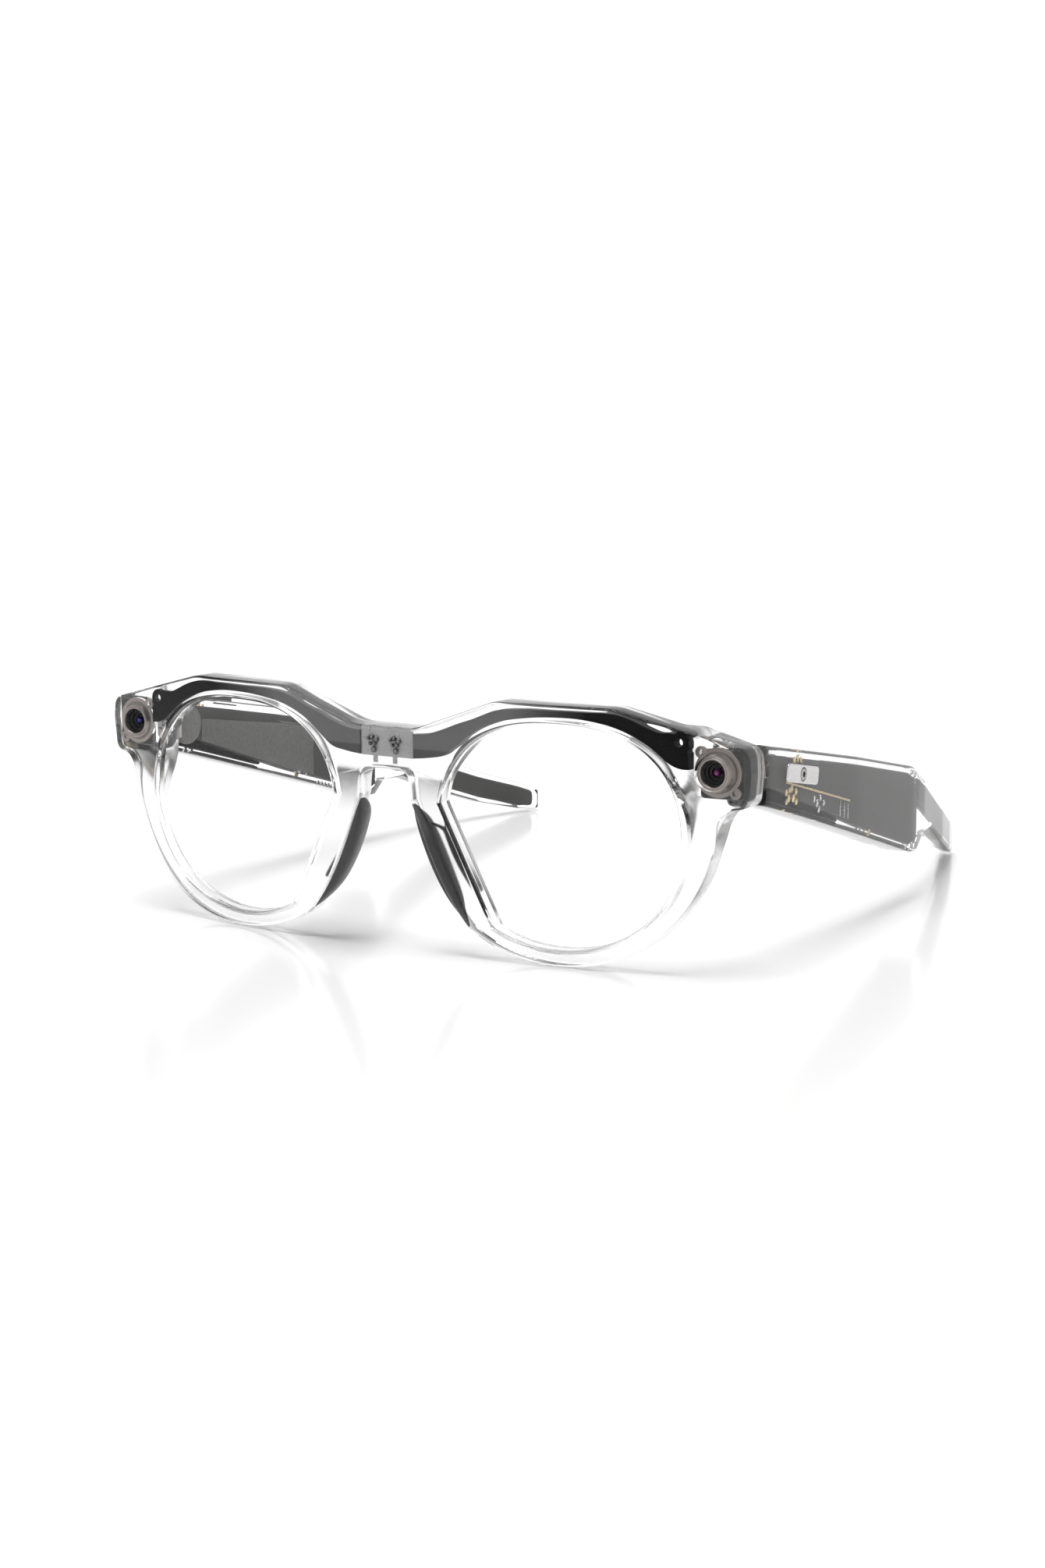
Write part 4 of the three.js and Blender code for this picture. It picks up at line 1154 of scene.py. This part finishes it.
def temple_pieces(side_name, side):
    """The pieces in a temple: tray, rear core, speaker, hinge cap, inner panel, badge plate and screw."""

    def piece(name, build, material, *stands_for, slot="graphite_plastic", **changes):
        nodes = [node + "_" + side_name for node in stands_for]
        make(name, build, material, "temple_" + side_name, side, nodes, slot, **changes)

    case = arm_loft(CORE_START, CORE_END, core_edges(), 0.7, facet=core_facet)
    leaf = box_build(63, 68.0, 17, 27.4, *LEAF_Z)
    well = arm_loft(30.5, 89.8, well_edges, 0.3, facet=core_facet)
    piece(f"arm_core_{side_name}_case", case, GRAPHITE, "electronics_tray", less=[leaf, well])
    ear = arm_loft(TIP_START, TIP_END, tip_edges(), 0.9, (0.3, 0.9))
    piece("ear_core_" + side_name, ear, GRAPHITE, "arm_core")
    # The speaker is a real part; its near-black box filling the shell below the core also stands in for the
    # soft shadow there, so it is partly painted shade.
    speaker = arm_loft(*SPEAKER_Y, speaker_edges(), 0.3)
    piece("speaker_box_" + side_name, speaker, SOOT, "speaker", slot="soot_film")
    disc = rounded([(0, 64.25), (3.9, 64.25), (4.1, 64.45), (4.1, 65.6), (0, 65.6)], 0.15, 3)
    stem = box_build(64.35, 65.5, 19.6, 25.6, 33.0, 38.4, 0.2)
    piece("hinge_cap_" + side_name, lathe_x(disc, 25.6, 35.6), CAP, plus=[stem])
    panel = arm_loft(*PANEL_Y, panel_edges(), 0.05, (0.1, 0.1))
    piece("inner_panel_" + side_name, panel, PANEL)

    seat = lathe_x([(BOLT_R + 0.15, 71), (BOLT_R + 0.15, 75)], BADGE_Y, BADGE_Z)
    plate = badge_build(0, *BADGE_X, crown=1.0)
    piece("badge_plate_" + side_name, plate, SILVER, "badge", slot="badge_metal", less=[seat])
    head = [(0, 71.9), (BOLT_R, 71.9), (BOLT_R, 72.7), (BOLT_R - 0.3, 72.82), (0, 72.82)]
    bolt = lathe_x(rounded(head, 0.2, 4), BADGE_Y, BADGE_Z)
    socket = lathe_x([(SOCKET_R, 72.2), (SOCKET_R, 75)], BADGE_Y, BADGE_Z, 6)
    piece("badge_bolt_" + side_name, bolt, STEEL, "badge_screw", slot="badge_metal", less=[socket])


def antenna_trace(side_name, side):
    """Gold runs on the core's outer face: a sloping strip, a branched feed and an end bar."""
    body = "temple_" + side_name

    def line(y):
        """The height of the sloping strip."""
        return 33.8 + (y - 31) * (25.8 - 33.8) / 30

    def strip(y0, y1, low, high, count=6, sloping=True):
        """A flat run between two places. Its edges are measured from the line, or from the floor."""
        sections = []
        for y in np.linspace(y0, y1, count):
            outer = arm_at(y)[2]
            x0, x1 = outer - TRAY_FACE - 0.05, outer - TRAY_FACE + 0.2
            base = line(y) if sloping else 0.0
            ring = round_rect(x0, x1, base + low, base + high, 0.06, 2)
            sections.append([(x, y, z) for x, z in ring])
        return lofted(sections)

    parts = [
        strip(28.0, 57.5, -0.2, 0.25, 14),
        strip(28.0, 28.5, -0.2, 1.6),
        strip(31.0, 31.9, 37.3, 38.8, sloping=False),
        strip(32.4, 33.3, 37.5, 39.0, sloping=False),
        strip(33.8, 34.6, 37.2, 38.4, sloping=False),
        strip(66.9, 68.1, 18.6, 19.6, sloping=False),
    ]
    names = ["antenna_" + side_name]
    make("antenna_trace_" + side_name, merged(parts), GOLD, body, side, names, "contact_gold")

    def bead(y, z, r, tall=0.5):
        base = arm_at(y)[2] - TRAY_FACE
        profile = [(0, base + tall), (r * 0.6, base + tall), (r, base + tall * 0.5), (r, base - 0.1)]
        return lathe_x(rounded([*profile, (0, base - 0.1)], r * 0.3, 3), y, z, 24)

    feed = ((28.4, 32.6, 0.65), (29.4, 31.4, 0.8), (30.6, 33.0, 0.7), (31.4, 31.2, 0.85))
    feed += ((32.4, 32.2, 0.7), (28.5, 30.9, 0.6), (32.6, 30.4, 0.7), (29.7, 32.8, 0.6))
    beads = [bead(*b) for b in feed]
    make("antenna_feed_" + side_name, merged(beads), GOLD, body, side, slot="contact_gold")
    contacts = ((40.6, 29.6, 0.7), (42.0, 28.6, 0.8), (43.4, 29.4, 0.7))
    contacts += ((42.8, 27.4, 0.75), (45.0, 28.2, 0.7))
    springs = [bead(*b, 0.6) for b in contacts]
    springs += [strip(y, y + 0.35, -3.6, -0.5) for y in (52.6, 54.6, 56.4)]
    make("contact_springs_" + side_name, merged(springs), SILVER, body, side, slot="hinge_steel")


# ---- Assembly ----
front_clear()
charge_unit()
for side_name, side in SIDES:
    brow_insert(side_name, side)
    lens_piece(side_name, side)
    nose_rest(side_name, side)
    eye_unit(side_name, side, MAGENTA_GLINT if side > 0 else BLUE_GLINT)
    arm_clear(side_name, side)
    temple_pieces(side_name, side)
    antenna_trace(side_name, side)

# CAD pieces that stay: their material and the width of their bevel.
KEPT = {
    "hinge_front": (STEEL, 0.12),
    "hinge_screw": (STEEL, 0.06),
    "hinge_temple": (STEEL, 0.12),
    "eye_board": (BOARD, 0.05),
    "circuit_board": (BOARD, 0.05),
    "battery": (CELL, 0.3),
    "touch_strip": (GRAPHITE, 0.05),
    "power_switch": (BUTTON, 0.18),
    "capture_button": (BUTTON, 0.22),
}
for node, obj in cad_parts.items():
    for key, (material, width) in KEPT.items():
        if node.startswith(key):
            obj.data.materials.clear()
            obj.data.materials.append(material)
            rim = obj.modifiers.new("Bevel", "BEVEL")
            rim.width = width * MM
            rim.segments = 3
            rim.limit_method = "ANGLE"


# ---- Floor, light and camera ----
FLOOR_R, FLOOR_Z = 30, -0.0002  # metres
FLOOR_SIDES = 64


def floor():
    mesh = bpy.data.meshes.new("floor")
    turns = np.linspace(0, 2 * math.pi, FLOOR_SIDES, endpoint=False)
    ring = [(FLOOR_R * math.cos(a), FLOOR_R * math.sin(a), FLOOR_Z) for a in turns]
    mesh.from_pydata(ring, [], [tuple(range(FLOOR_SIDES))])
    obj = bpy.data.objects.new("floor", mesh)
    SCENE.collection.objects.link(obj)
    mat = new_material("floor_white", grey(0.9), 0.14, Specular_IOR_Level=0.5)
    mesh.materials.append(mat)


def sky():
    """Bright round the horizon and dark overhead, so that clear edges get dark lines."""
    world = bpy.data.worlds.new("studio")
    SCENE.world = world
    world.use_nodes = True
    tree = world.node_tree
    background = tree.nodes["Background"]
    coordinates = tree.nodes.new("ShaderNodeTexCoord")
    parts = tree.nodes.new("ShaderNodeSeparateXYZ")
    link(tree, coordinates.outputs["Generated"], parts.inputs[0])
    stops = ((0.0, 1.05), (0.42, 1.05), (0.6, 0.35), (1.0, 0.12))
    fade = ramp(world, parts.outputs["Z"], [(at, grey(value)) for at, value in stops])
    link(tree, fade, background.inputs["Color"])
    background.inputs["Strength"].default_value = 1.0


def sun(name, direction, strength, angle):
    data = bpy.data.lights.new(name, "SUN")
    data.energy = strength
    data.angle = math.radians(angle)
    obj = bpy.data.objects.new(name, data)
    obj.rotation_euler = Vector(direction).to_track_quat("-Z", "Y").to_euler()
    SCENE.collection.objects.link(obj)


CAMERA_AT = (0.3064, -0.4652 + SHIFT * MM, 0.1251)
CAMERA_RIGHT, CAMERA_BACK = (0.86074, 0.50904, 0), (0.50209, -0.84898, 0.16470)
FOCAL, SENSOR = 68.1, 36


def camera():
    data = bpy.data.cameras.new("camera")
    data.lens = FOCAL
    data.sensor_width = SENSOR
    data.clip_start = 0.01
    data.clip_end = 100
    obj = bpy.data.objects.new("camera", data)
    right = Vector(CAMERA_RIGHT).normalized()
    back = Vector(CAMERA_BACK).normalized()
    up = back.cross(right)
    rows = [(right[i], up[i], back[i], CAMERA_AT[i]) for i in range(3)]
    obj.matrix_world = Matrix([*rows, (0, 0, 0, 1)])
    SCENE.collection.objects.link(obj)
    SCENE.camera = obj


floor()
sky()
sun("key", (0.03, 0.05, -1.0), 2.9, 38)
camera()
SCENE.view_settings.view_transform = "Standard"
SCENE.cycles.max_bounces = 24
SCENE.cycles.transmission_bounces = 24
SCENE.cycles.glossy_bounces = 12
SCENE.cycles.transparent_max_bounces = 24

bpy.context.view_layer.update()
